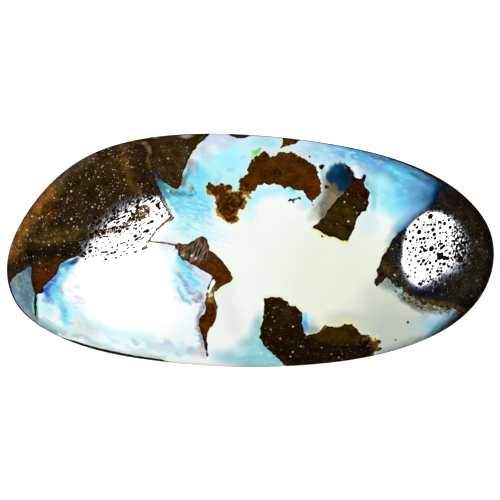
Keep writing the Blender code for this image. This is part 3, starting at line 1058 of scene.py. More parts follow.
IRONSTONE_WASHES: tuple[Wash, ...] = (
    # The broad end, with an ochre rind along its rim and bands below the middle.
    Tint.UMBER.pool(0.4, 110, 172, 40, 26, 30),
    Tint.DULL_OCHRE.streak(0.6, ((121, 148), (126, 164), (128, 180), (140, 192)), 14, 0.0),
    Tint.TAUPE.streak(0.6, ((42, 198), (54, 186), (70, 170), (92, 156)), 16),
    Tint.OCHRE.streak(0.75, ((12, 250), (22, 229), (36, 208), (50, 191)), 28, 0.0),
    Tint.YELLOW_OCHRE.pool(0.4, 25, 231, 4, 8, -20),
    Tint.RUST.streak(0.3, ((6, 280), (12, 250), (22, 225), (36, 203), (60, 177)), 5),
    Tint.CHOCOLATE.pool(0.8, 48, 214, 11, 10, 0, 0.5),
    Tint.OLIVE.pool(0.5, 58, 190, 14, 8, 40),
    Tint.BLACK_BROWN.pool(0.5, 102, 181, 14, 11, 20),
    Tint.TAUPE.pool(0.5, 130, 150, 9, 8),
    Tint.OLIVE.streak(0.35, ((30, 233), (56, 233), (76, 235), (100, 230)), 19, 0.1),
    Tint.DULL_OCHRE.streak(0.6, ((26, 241), (44, 241), (60, 240), (84, 239)), 5),
    Tint.BLACK_BROWN.streak(0.95, ((26, 256), (44, 251), (62, 250), (88, 248)), 18),
    Tint.BLACK_BROWN.streak(0.8, ((8, 268), (20, 265), (30, 260)), 14),
    # Painted reflection: a blue-black tint where the left gleam's glow dies away.
    Tint.BLUE_BLACK.pool(0.9, 88, 243, 12, 10, 40),
    Tint.RED_BROWN.pool(0.85, 48, 277, 20, 19, 40, 0.4),
    Tint.RED_BROWN.streak(0.6, ((50, 262), (66, 258), (78, 256)), 6),
    Tint.NEAR_BLACK.pool(0.8, 42, 291, 5, 3.4),
    Tint.BLUE_BLACK.pool(0.5, 138, 150, 8, 9),
    Tint.DULL_OCHRE.streak(0.9, ((92, 237), (103, 232), (118, 230), (131, 222)), 9, 0.5),
    Tint.DULL_OCHRE.streak(0.9, ((134, 219), (141, 213), (148, 207), (152, 205)), 14, 0.5),
    Tint.OLIVE.pool(0.8, 140, 217, 5, 4, 30),
    Tint.RUST.streak(0.8, ((132, 142), (145, 142)), 3),
    Tint.TAN.streak(0.45, ((143, 142), (148, 147), (150, 153)), 4.5, 0.3),
    Tint.RUST.streak(0.5, ((143, 141), (148, 147), (150, 153)), 3),
    Tint.OLIVE.streak(0.9, ((149, 152), (147.6, 159), (149.5, 167)), 4, 0.4),
    Tint.UMBER.pool(0.8, 172, 160, 24, 28, 0, 0.5),
    Tint.OLIVE.streak(0.6, ((205, 137), (196, 146), (189, 156)), 3.5),
    Tint.RUST.pool(0.6, 178, 166, 3, 4),
    # The patches in the middle.
    Tint.CHOCOLATE.fill(1.0, ARCH_ZONE, 4),
    Tint.RED_BROWN.pool(0.5, 313, 190, 10, 18),
    Tint.NEAR_BLACK.pool(0.85, 324, 174, 7, 16, 0, 0.6),
    Tint.RED_BROWN.fill(1.0, HONEYCOMB_ZONE, 4),
    Tint.CHOCOLATE.pool(0.8, 217, 188, 9, 5),
    Tint.UMBER.pool(0.35, 228, 205, 9, 9),
    Tint.YELLOW_OCHRE.streak(0.9, ((206, 186), (206.8, 190.5), (210, 194)), 4, 0.3),
    Tint.YELLOW_OCHRE.pool(1.0, 230, 192, 3.2, 2.6, 0, 0.5),
    Tint.YELLOW_OCHRE.streak(0.95, ((215.5, 208), (218.5, 213.5), (223, 218), (227, 221.5)), 4, 0.4),
    Tint.OCHRE.streak(0.9, ((228, 222.5), (233, 223), (237.5, 219.5)), 4),
    Tint.OCHRE.streak(0.7, ((237, 213), (239.5, 209.5), (243.5, 206)), 3.4),
    Tint.YELLOW_OCHRE.pool(1.0, 246, 203, 3.2, 3.6, 0, 0.4),
    Tint.TAN.pool(0.6, 217.5, 198, 2, 3, -30),
    Tint.DARK_OLIVE.fill(1.0, SLAB_ZONE, 4),
    Tint.DARK_RED.pool(0.9, 358, 190, 14, 18, 20, 0.5),
    Tint.NEAR_BLACK.streak(0.8, ((344, 162), (350, 171), (354, 180)), 8, 0.4),
    Tint.BLACK_BROWN.streak(0.9, ((362, 174), (364, 184), (370, 192), (368, 207), (356, 222), (348, 242)), 6),
    Tint.BLACK_BROWN.streak(0.7, ((312, 228), (328, 211), (340, 197), (354, 178)), 4),
    Tint.BLACK_BROWN.streak(0.8, ((312, 228), (330, 235), (348, 242)), 6),
    Tint.BLACK_BROWN.fill(1.0, FOOT_ZONE, 4),
    Tint.UMBER.pool(0.3, 282, 315, 17, 17),
    Tint.DARK_RED.streak(0.7, ((264, 299), (280, 298), (292, 305), (301, 312), (302, 330)), 6),
    Tint.DARK_RED.pool(0.6, 275, 340, 14, 12, -25),
    Tint.DARK_OLIVE.fill(0.8, LOBE_ZONE, 3),
    Tint.RED_BROWN.streak(0.7, ((306, 337), (320, 334), (326, 330), (344, 325), (356, 328), (360, 336)), 4),
    Tint.DULL_OCHRE.pool(0.7, 375, 341, 9, 9),
    Tint.NEAR_BLACK.pool(0.95, 365, 346, 8, 8, 20, 0.5),
    Tint.RUST.pool(0.7, 378, 340, 4, 4),
    Tint.OCHRE.streak(0.8, ((380, 345), (378, 350), (373, 354)), 4),
    Tint.OCHRE.pool(1.0, 324.5, 327, 3.5, 3, 0, 0.5),
    Tint.RED_BROWN.fill(1.0, NECK_ZONE, 4),
    Tint.TAUPE.pool(0.9, 191, 249, 22, 15, -20, 0.6),
    Tint.RUST.pool(0.7, 178.5, 246.5, 4, 3.5),
    Tint.TAN.streak(0.7, ((152, 242), (161, 242.5), (173, 245)), 5, 0.6),
    Tint.TAN.streak(0.6, ((170, 220), (159, 228), (151, 240), (146, 249)), 7, 0.5),
    Tint.OCHRE.streak(0.6, ((216, 303), (217.5, 310), (215, 321), (209, 331)), 3),
    Tint.BLACK_BROWN.streak(0.7, ((203, 312), (200, 320), (202, 332), (206, 350)), 3),
    # Painted highlights: white glints on the neck's top, where the left gleam catches it.
    Tint.WHITE.pool(0.9, 184.3, 255.8, 2.8, 1.4, 30),
    Tint.WHITE.pool(0.9, 192, 257.2, 2.0, 1.6),
    Tint.WHITE.pool(0.9, 195.6, 259.4, 1.4, 2.4, -30),
    # Painted shade: the dark inside of a small hole in the neck.
    Tint.BLACK_BROWN.pool(0.9, 192.6, 262.6, 4, 2.4, -20, 0.5),
    Tint.OLIVE.pool(0.9, 217, 286, 7, 4, 30),
    Tint.YELLOW_OCHRE.pool(0.7, 214, 289, 4, 3, 30),
    Tint.STRAW.pool(0.85, 210, 294.5, 5, 4.6),
    Tint.YELLOW_OCHRE.pool(0.8, 211, 301, 6.5, 3.6),
    # The narrow end.
    Tint.SOOT.fill(1.0, NARROW_ZONE, 4),
    # Painted shade: near black along the narrow end's steep rim.
    Tint.NEAR_BLACK.streak(0.9, ((462, 186), (488, 228), (492, 256), (484, 288), (462, 312)), 18),
    Tint.NAVY.pool(0.8, 458, 184, 16, 9, -40),
    Tint.NAVY.streak(0.9, ((442, 190), (433, 207), (419, 218), (406, 228), (394, 239)), 9, 0.4),
    Tint.BLUE_BLACK.pool(0.35, 448, 198, 18, 12, -40),
    Tint.BLACK_BROWN.pool(0.5, 466, 222, 30, 60, 0, 0.5),
    Tint.CHOCOLATE.streak(0.4, ((440, 192), (442, 197), (445, 202)), 7, 0.0),
    # Painted reflection: a blue-black tint where the right gleam dies away below it.
    Tint.BLUE_BLACK.pool(0.95, 428, 292, 34, 10, -8),
    Tint.OLIVE.pool(0.5, 386, 268, 6, 10, 25),
    Tint.RUST.pool(0.9, 378, 282, 4, 6),
    Tint.RUST.pool(0.9, 405, 291, 5, 4, -40),
    Tint.OLIVE.streak(0.5, ((412, 299), (430, 304), (446, 304), (462, 309)), 9),
    Tint.RED_BROWN.pool(0.9, 283, 143, 24, 8, 0, 0.5),
    # Painted sheen: a pale tan and lilac band along the top rim.
    Tint.TAN.pool(0.3, 188, 136.5, 11, 2.4),
    Tint.LILAC.pool(0.3, 187, 136.3, 10, 2.0),
    Tint.TEAL.pool(0.9, 157, 138.5, 4, 2),
)

# The larger pits in the polish, where the gleams show them: round ones in the right gleam,
# then round ones, scratches and dashes in the left gleam.
PIT_SPOTS: tuple[Spots, ...] = (
    Spots(turn=58, stretch=1.25, places=(
        (414.7, 225, 1.3), (419.2, 232, 2.0), (413, 237.5, 1.4), (433, 229.6, 1.8), (428.4, 232, 1.3),
        (431, 224.6, 1.2), (427.5, 225, 1.1), (423.5, 225, 1.1), (434.3, 234.5, 1.7), (444.6, 223.4, 1.6),
        (450.2, 227.4, 1.5), (455.1, 227.4, 1.3), (458.4, 238, 1.2), (454.2, 235.8, 1.1), (440, 233, 1.1),
        (423.9, 238.4, 1.5), (420, 239, 1.3), (427.9, 238.2, 1.1), (421.6, 242.8, 1.1), (420.5, 251.7, 1.4),
        (415.6, 256, 1.3), (413.3, 248, 1.2), (431.4, 248.7, 2.3), (436, 248.7, 1.2), (441.3, 248, 1.6),
        (443.9, 246, 1.4), (440, 256.6, 2.8), (444.6, 258, 2.0), (438, 254, 1.5), (441.9, 254, 1.5),
        (447.9, 258.5, 1.6), (444.3, 264, 1.6), (440, 263.8, 1.3), (436, 261.2, 1.3), (430, 262.9, 1.4),
        (432.7, 266, 1.1), (427.5, 269.5, 1.5), (423.5, 260.5, 1.6), (418.5, 261.2, 1.4),
        (420.9, 264.5, 1.2), (437.3, 271, 1.4), (441.3, 271, 1.2), (449.8, 253.3, 1.4), (451.8, 246, 1.1),
        (457, 246.7, 1.2), (456.4, 250.7, 1.2), (451.8, 267.4, 1.2), (455, 257, 1.5), (430.4, 216.4, 2.3),
        (460.4, 259, 2.5), (437.5, 242, 1.0), (446, 241, 1.2), (410.5, 252, 1.0), (425.5, 246, 1.1),
    )),
    Spots(turn=35, stretch=1.3, places=(
        (90.1, 251.2, 1.7), (90, 244.5, 1.2), (95.6, 247.9, 1.1), (85.6, 258.8, 1.0), (106.8, 252, 1.1),
        (111.3, 253.2, 1.1), (114.8, 252.3, 1.2), (103.4, 252.3, 0.9), (105.5, 259.4, 1.1),
        (115.7, 257.8, 1.0), (121.2, 255.3, 0.9), (126.7, 253.6, 0.9), (135.3, 236.1, 1.6),
        (147.2, 231, 1.8), (152, 221.5, 1.6), (147.9, 223.5, 1.1), (135.6, 224.9, 1.2), (157.5, 205, 1.9),
        (159.5, 208.4, 1.4), (161.6, 215.3, 1.3), (156.8, 214.6, 1.2), (154, 211.9, 1.2), (165, 212.5, 1.1),
        (169.6, 217.6, 1.2), (127.4, 229, 1.3), (119.8, 231.7, 1.4), (105.5, 226.2, 1.6), (114.4, 213.9, 1.3),
        (132.2, 213.9, 1.4), (113, 219.4, 1.2), (108.9, 222.1, 1.1), (100.7, 230.4, 1.2), (98.6, 234.5, 1.1),
        (107.5, 236.5, 1.0), (117, 227.9, 1.1), (123.3, 226.9, 1.2), (130, 218, 1.2), (139, 217.3, 1.0),
        (102, 252.2, 0.9), (112.3, 247.4, 1.0), (110.2, 242.6, 0.9), (121.1, 243.7, 0.9), (123.9, 242.6, 0.8),
        (128.7, 240.6, 1.0), (127.3, 245, 0.9), (134.1, 247.4, 0.9), (141, 234.4, 0.9), (136.2, 228.7, 1.1),
        (133.5, 228.2, 0.9), (141.7, 228.9, 0.9), (144, 231.7, 1.0), (108.8, 239.2, 0.8), (104, 236.5, 0.9),
        (100.6, 237.8, 1.0), (152, 228, 0.8), (131, 233.5, 0.8), (117.5, 237, 0.8), (126, 237, 0.7),
        (97, 241.5, 1.0), (106, 246, 0.8), (117, 249.5, 0.8), (93, 256, 0.9), (138, 241.5, 0.8),
    )),
    Spots(turn=32, stretch=6.0, places=(
        (127, 211.5, 0.7), (137, 204.5, 0.7), (147, 199.8, 0.7), (133, 209.5, 0.6), (143, 206.8, 0.6),
        (116, 217.5, 0.6), (160, 201, 0.5),
    )),
    Spots(turn=33, stretch=2.6, places=(
        (123.9, 216.7, 1.0), (136.3, 207, 0.9), (144.5, 202.3, 0.9), (129, 211, 0.9), (118, 219, 0.9),
        (126, 209.5, 0.8), (151.3, 199, 0.9), (140, 209.5, 0.8), (164, 219.2, 0.9), (124, 251.5, 0.6),
        (128, 248, 0.6),
    )),
)
# The brightest grains of the ironstone, each with a painted glint of pure white in its middle.
GRAIN_GLINT_SPOTS: tuple[Spots, ...] = (
    Spots((
        (99.8, 195.2, 1.4), (61.8, 199, 1.2), (54, 198, 1.1), (96.3, 188.5, 1.2), (117.6, 186.5, 1.1),
        (67.8, 179.5, 1.0), (79.5, 217.5, 1.0), (84, 211, 1.0), (32, 216.5, 1.2), (42.5, 217, 1.1),
        (27, 230, 1.1), (31, 241, 1.0), (59, 216, 1.0), (86.5, 168.5, 1.1), (124, 179.5, 1.3),
        (127.5, 163, 1.2), (88.5, 228.5, 1.1), (55, 241.5, 1.1), (54.5, 233.5, 1.0), (69.5, 237.5, 1.0),
        (344.5, 202, 1.3), (348.3, 221.3, 1.3), (347.7, 194, 1.1), (354, 207.5, 1.0), (357, 213, 1.0),
        (365, 203, 1.0), (293, 326.5, 1.2), (270.8, 329.5, 1.1), (280.3, 338.5, 1.1), (292.8, 352, 1.2),
        (290.4, 356.5, 1.1), (300.7, 346.3, 1.1), (267.5, 347, 1.0), (268.3, 313.5, 0.9), (274, 308, 1.0),
        (272.5, 317, 1.0), (274.6, 321.3, 1.0), (331.4, 354, 1.0), (338.8, 357.5, 1.0), (321.7, 347.8, 1.0),
        (168, 158.5, 1.2), (159.5, 160.5, 0.9), (187.5, 147.5, 1.0), (186.5, 151, 0.9), (394.8, 275, 1.4),
        (392.5, 249, 1.0),
    )),
)

# The masks: each one's level where nothing is marked, and its marks.
MASKS: Mapping[Mask, tuple[float, tuple[tuple[float, Shape], ...]]] = {
    Mask.PITS: (0.0, (
        (0.9, Pool((434, 246), (46, 50), 0, 0.7)),
        (0.8, Streak(((88, 244), (102, 230), (122, 215), (142, 204), (160, 206)), 34, 0.7)),
        (0.35, Fill(((80, 264), (92, 243), (126, 233), (150, 222), (176, 221), (150, 250), (120, 264)), 6)),
    )),
    Mask.DASHES: (0.0, (
        (1.0, Streak(((88, 244), (102, 230), (122, 215), (142, 204), (156, 201)), 15, 0.6)),
        (0.5, Streak(((104, 240), (128, 232), (150, 219), (164, 212)), 10, 0.4)),
        (0.55, Streak(((98, 253), (114, 251), (130, 243), (146, 236)), 12, 0.3)),
        (0.4, Pool((434, 245), (30, 36), 0, 0.6)),
    )),
    Mask.SPECKS: (0.0, (
        (1.0, Pool((75, 200), (95, 80), 20, 0.7)),
        (1.0, Streak(((14, 262), (24, 225), (40, 204)), 22, 0.5)),
        (0.6, Pool((172, 160), (30, 30), 0, 0.5)),
        (0.1, Fill(SLAB_ZONE, 2)),
        (0.2, Fill(FOOT_ZONE, 2)),
        (0.0, Fill(LOBE_ZONE, 2)),
        (0.4, Pool((440, 260), (70, 70), 0, 0.5)),
    )),
    Mask.NODULES: (0.0, (
        (0.12, Fill(ARCH_ZONE, 2)),
        (1.0, Fill(HONEYCOMB_ZONE, 2)),
        (0.95, Pool((374, 341), (14, 11), 0, 0.6)),
        (0.3, Pool((384, 272), (8, 14), 25)),
        (0.5, Streak(((404, 292), (420, 302), (446, 306), (462, 311)), 10)),
        (0.4, Pool((125, 165), (18, 30), -15)),
        (0.4, Streak(((14, 262), (24, 225), (40, 204)), 24, 0.3)),
        (0.4, Pool((211, 298), (8, 9))),
        (0.8, Streak(((174, 218), (159, 228), (151, 240), (161, 242.5), (176, 245)), 5, 0.7)),
        (0.3, Fill(((196, 262), (212, 250), (236, 278), (218, 292), (220, 315), (208, 360), (198, 330)), 3)),
    )),
    Mask.DULL: (0.0, (
        (0.55, Streak(((92, 237), (103, 232), (118, 229), (131, 221)), 15, 0.3)),
        (0.60, Pool((141, 213), (17, 11), 38, 0.5)),
        (1.2, Pool((146, 248.5), (6, 4), 30, 0.5)),
        (1.2, Streak(((172.5, 218), (165, 223), (158.5, 229), (154, 235), (150.6, 240)), 4, 0.5)),
        (1.2, Streak(((150.6, 240), (151, 242), (161, 242.5), (176, 245)), 5, 0.6)),
        (1.0, Streak(((160, 197.5), (166, 208), (172.5, 218)), 2.6)),
        (0.75, Streak(((97, 248), (103, 256), (108, 260)), 2.6)),
    )),
    Mask.FROST: (0.0, (
        (0.56, Pool((470, 244), (34, 54), 0, 0.4)),
        (0.54, Pool((450, 212), (18, 10), -35, 0.4)),
        (0.52, Pool((445, 284), (36, 18), 0, 0.4)),
        (0.45, Pool((398, 250), (8, 20), 25)),
        (0.4, Pool((445, 214), (22, 7), -30)),
        (0.50, Streak(((86, 236), (104, 220), (128, 203), (150, 192)), 22, 0.4)),
    )),
    Mask.HAIRS: (0.0, (
        (1.0, Pool((192, 248), (22, 17), -20, 0.7)),
    )),
    Mask.RAGGED: (1.0, (
        (2.6, Fill(ARCH_ZONE, 4)),
        (3.0, Fill(HONEYCOMB_ZONE, 4)),
        (1.4, Fill(SLAB_ZONE, 4)),
        (1.5, Fill(FOOT_ZONE, 4)),
        (3.0, Pool((374, 342), (16, 12), 0, 0.5)),
        (2.4, Streak(((384, 281), (404, 292), (424, 305), (460, 312)), 16, 0.5)),
        (1.8, Pool((380, 276), (12, 14), 0, 0.5)),
        (0.3, Streak(((150, 241.5), (161, 242.5), (174, 245)), 8, 0.6)),
    )),
    Mask.FRINGE: (0.0, (
        (0.9, Streak(((313, 230), (325, 236), (345, 243)), 9, 0.6)),
        (0.5, Streak(((262, 296), (282, 297), (300, 309), (304, 314)), 8, 0.5)),
        (0.6, Streak(((324, 326), (346, 321), (360, 327), (378, 336)), 10, 0.5)),
        (0.35, Fill(HONEYCOMB_ZONE, 6)),
        (0.4, Streak(((246, 172), (254, 156), (268, 150), (290, 149), (306, 157)), 9, 0.5)),
        (0.4, Streak(((396, 236), (389, 245), (384, 255)), 7)),
        (0.5, Streak(((212, 252), (233, 278), (217, 295)), 6, 0.5)),
    )),
    Mask.STREAKS: (0.0, (
        (0.75, Pool((192, 216), (34, 24), -10, 0.6)),
        (0.6, Pool((188, 278), (20, 30), -20, 0.6)),
        (0.35, Pool((222, 240), (22, 24))),
        (1.0, Streak(((202, 300), (198, 318), (198, 332), (202, 352)), 11, 0.6)),
        (0.4, Pool((56, 296), (20, 40), 15, 0.5)),
        (0.25, Pool((86, 324), (26, 18), -30, 0.4)),
    )),
    Mask.PLAY: (0.0, (
        (0.8, Pool((350, 160), (60, 26), -15, 0.5)),
        (0.5, Pool((394, 184), (40, 44), -30, 0.5)),
        (0.25, Pool((420, 184), (22, 16), -30, 0.4)),
        (0.0, Streak(((446, 176), (432, 200), (408, 222), (390, 240)), 26, 0.3)),
        (0.0, Fill(BLOB, 6)),
        (0.9, Pool((58, 296), (30, 46), 15, 0.6)),
        (0.9, Streak(((62, 330), (110, 344), (190, 350)), 24, 0.5)),
        (0.6, Pool((222, 166), (46, 44), 0, 0.5)),
        (0.25, Pool((20, 292), (18, 34), 0, 0.6)),
        (0.6, Pool((266, 350), (38, 22), 0, 0.4)),
        (0.8, Pool((188, 286), (20, 28))),
    )),
    Mask.CRYSTALS: (0.0, (
        (1.0, Streak(((400, 292), (420, 304), (446, 310)), 16, 0.4)),
        (0.35, Pool((388, 284), (12, 9), -35, 0.4)),
        (0.3, Pool((321, 206), (9, 18), -25, 0.4)),
        (0.25, Pool((20, 292), (18, 30), 0, 0.6)),
        (0.4, Pool((172, 192), (12, 5), 0, 0.5)),
    )),
}

# The hidden side: bands of ironstone that run through the stone, in the same pixels.
BACK_WASHES: tuple[Wash, ...] = (
    Tint.UMBER.streak(0.8, ((20, 300), (140, 250), (300, 230), (480, 190)), 90, 0.3),
    Tint.RUST.streak(0.6, ((10, 250), (120, 205), (230, 190), (330, 150)), 26),
    Tint.DULL_OCHRE.streak(0.6, ((60, 330), (190, 290), (330, 270), (470, 240)), 18),
    Tint.BLACK_BROWN.streak(0.8, ((150, 350), (260, 320), (400, 320)), 40),
    Tint.OCHRE.streak(0.6, ((10, 272), (16, 246), (26, 224), (40, 204)), 20),
)

# Where the opal's lower limit lies round the rim: a pixel near it, and its height over
# the widest line in millimetres. Ironstone lies below it, so a high limit shows from above.
RIM_LIMIT: tuple[tuple[float, float, float], ...] = (
    (8, 290, 0.8), (30, 320, 0.7), (55, 333, 0.5), (75, 341, 1.1), (110, 352, 1.25),
    (160, 360, 1.2), (178, 362, 0.2), (230, 366, -0.4), (280, 366, -0.2), (375, 357, -0.3),
    (420, 341, -0.2), (432, 335.5, 0.0), (440, 331.5, 0.4), (450, 323, 1.15), (470, 305, 1.4),
    (493, 256, 1.4), (486, 220, 1.4), (465, 190, 1.4), (440, 170, 1.05), (400, 152, 0.9),
    (340, 140, 0.7), (280, 136, 0.55), (240, 135, 0.7), (215, 134, 0.3), (195, 135, 0.3),
    (170, 137, 0.7), (80, 165, 0.8), (25, 220, 0.8),
)


@dataclass(frozen=True)
class Level:
    """A number that varies over a surface. Python's operators add Math nodes to it.

    Attributes:
        graph: the node tree that it is in.
        socket: where it comes from.
    """

    graph: "Graph"
    socket: bpy.types.NodeSocket

    def _math(self, operation: str, *operands: "Level | float") -> "Level":
        """Adds one Math node.

        Args:
            operation: what it does.
            operands: the numbers it does it to, in order.

        Returns:
            Its result.
        """
        node = self.graph.add("ShaderNodeMath", {"operation": operation}, dict(enumerate(operands)))
        return Level(self.graph, node.outputs[0])

    def __add__(self, other: "Level | float") -> "Level":
        """Sum."""
        return self._math("ADD", self, other)

    def __sub__(self, other: "Level | float") -> "Level":
        """Difference."""
        return self._math("SUBTRACT", self, other)

    def __rsub__(self, other: float) -> "Level":
        """Difference from a number."""
        return self._math("SUBTRACT", other, self)

    def __mul__(self, other: "Level | float") -> "Level":
        """Product."""
        return self._math("MULTIPLY", self, other)

    def __gt__(self, other: "Level | float") -> "Level":
        """1 where this is greater, and 0 elsewhere."""
        return self._math("GREATER_THAN", self, other)

    def at_least(self, least: float) -> "Level":
        """The greater of this and a number."""
        return self._math("MAXIMUM", self, least)

    def power(self, exponent: float) -> "Level":
        """This to a power."""
        return self._math("POWER", self, exponent)

    def step(self, low: float, high: float) -> "Level":
        """Rises smoothly from 0 at low to 1 at high. A low over high makes it fall."""
        if low > high:
            return 1 - self.step(high, low)
        sockets = {"Value": self, "From Min": low, "From Max": high}
        node = self.graph.add("ShaderNodeMapRange", {"interpolation_type": "SMOOTHSTEP"}, sockets)
        return Level(self.graph, node.outputs["Result"])


@dataclass(frozen=True)
class Graph:
    """A material's node tree, built up node by node."""

    tree: bpy.types.NodeTree

    @classmethod
    def of(cls, material: bpy.types.Material) -> "Graph":
        """Empties a material's node tree, to build it up anew."""
        material.use_nodes = True
        material.node_tree.nodes.clear()
        return cls(material.node_tree)

    def finish(self, surface: bpy.types.NodeSocket) -> None:
        """Ends the material with its surface."""
        self.add("ShaderNodeOutputMaterial", None, {"Surface": surface})

    def add(
        self,
        kind: str,
        settings: Mapping[str, object] | None = None,
        sockets: Mapping[str | int, object] | None = None,
    ) -> bpy.types.Node:
        """Adds a node.

        Args:
            kind: the node's type.
            settings: its properties, set before its sockets.
            sockets: values, levels or sockets for its inputs, by name or place.

        Returns:
            The node.
        """
        node = self.tree.nodes.new(kind)
        for name, value in (settings or {}).items():
            setattr(node, name, value)
        for name, value in (sockets or {}).items():
            if isinstance(value, Level):
                value = value.socket
            if isinstance(value, bpy.types.NodeSocket):
                self.tree.links.new(value, node.inputs[name])
            else:
                node.inputs[name].default_value = value
        return node

    def level(self, name: str) -> Level:
        """A number painted on the piece, by its attribute's name."""
        node = self.add("ShaderNodeAttribute", {"attribute_name": name})
        return Level(self, node.outputs["Fac"])

    def colour(self, name: str) -> bpy.types.NodeSocket:
        """A colour painted on the piece, by its attribute's name."""
        return self.add("ShaderNodeAttribute", {"attribute_name": name}).outputs["Color"]

    def place(self, turn: float = 0.0, stretch: float = 1.0) -> bpy.types.NodeSocket:
        """The piece's own place, turned about Z and then drawn out along X.

        Args:
            turn: degrees that the drawn out direction stands from X.
            stretch: how many times longer a pattern gets along it.

        Returns:
            The place's socket.
        """
        source = self.add("ShaderNodeTexCoord").outputs["Object"]
        if turn:
            turned = {"Vector": source, "Rotation": (0.0, 0.0, -math.radians(turn))}
            source = self.add("ShaderNodeMapping", None, turned).outputs["Vector"]
        if stretch != 1.0:
            drawn = {"Vector": source, "Scale": (1 / stretch, 1.0, 1.0)}
            source = self.add("ShaderNodeMapping", None, drawn).outputs["Vector"]
        return source

    def clouds(
        self, grain: float, detail: float = 3.0, place: bpy.types.NodeSocket | None = None
    ) -> Level:
        """Soft noise about 0.5.

        Args:
            grain: size of its clouds, in metres.
            detail: how many finer layers it has.
            place: the place to read it at, or None for the piece's own.

        Returns:
            Its level.
        """
        sockets = {"Vector": place or self.place(), "Scale": 1 / grain, "Detail": detail}
        return Level(self, self.add("ShaderNodeTexNoise", None, sockets).outputs["Fac"])

    def grains(
        self, spacing: float, place: bpy.types.NodeSocket | None = None
    ) -> tuple[Level, Level, Level]:
        """Scattered points, one to a cell.

        Args:
            spacing: the cells' size, in metres.
            place: the place to read them at, or None for the piece's own.

        Returns:
            The distance to the nearest point in metres, and two random numbers for its cell.
        """
        sockets = {"Vector": place or self.place(), "Scale": 1 / spacing}
        node = self.add("ShaderNodeTexVoronoi", None, sockets)
        split = self.add("ShaderNodeSeparateColor", None, {"Color": node.outputs["Color"]})
        distance = Level(self, node.outputs["Distance"]) * spacing
        return distance, Level(self, split.outputs["Red"]), Level(self, split.outputs["Green"])

    def mix(self, share: Level | float, first: object, second: object) -> bpy.types.NodeSocket:
        """Mixes two colours.

        Args:
            share: how much of the second.
            first: a colour, or a socket of colours.
            second: a colour, or one of the tints.

        Returns:
            The mixed colour's socket.
        """
        if isinstance(second, Tint):
            second = (*second.value, 1.0)
        settings = {"data_type": "RGBA", "blend_type": "MIX", "clamp_factor": True}
        return self.add("ShaderNodeMix", settings, {0: share, 6: first, 7: second}).outputs[2]

    def scaled(self, colour: bpy.types.NodeSocket, by: Level) -> bpy.types.NodeSocket:
        """A colour made brighter or darker by a factor."""
        sockets = {0: colour, "Scale": by}
        return self.add("ShaderNodeVectorMath", {"operation": "SCALE"}, sockets).outputs["Vector"]


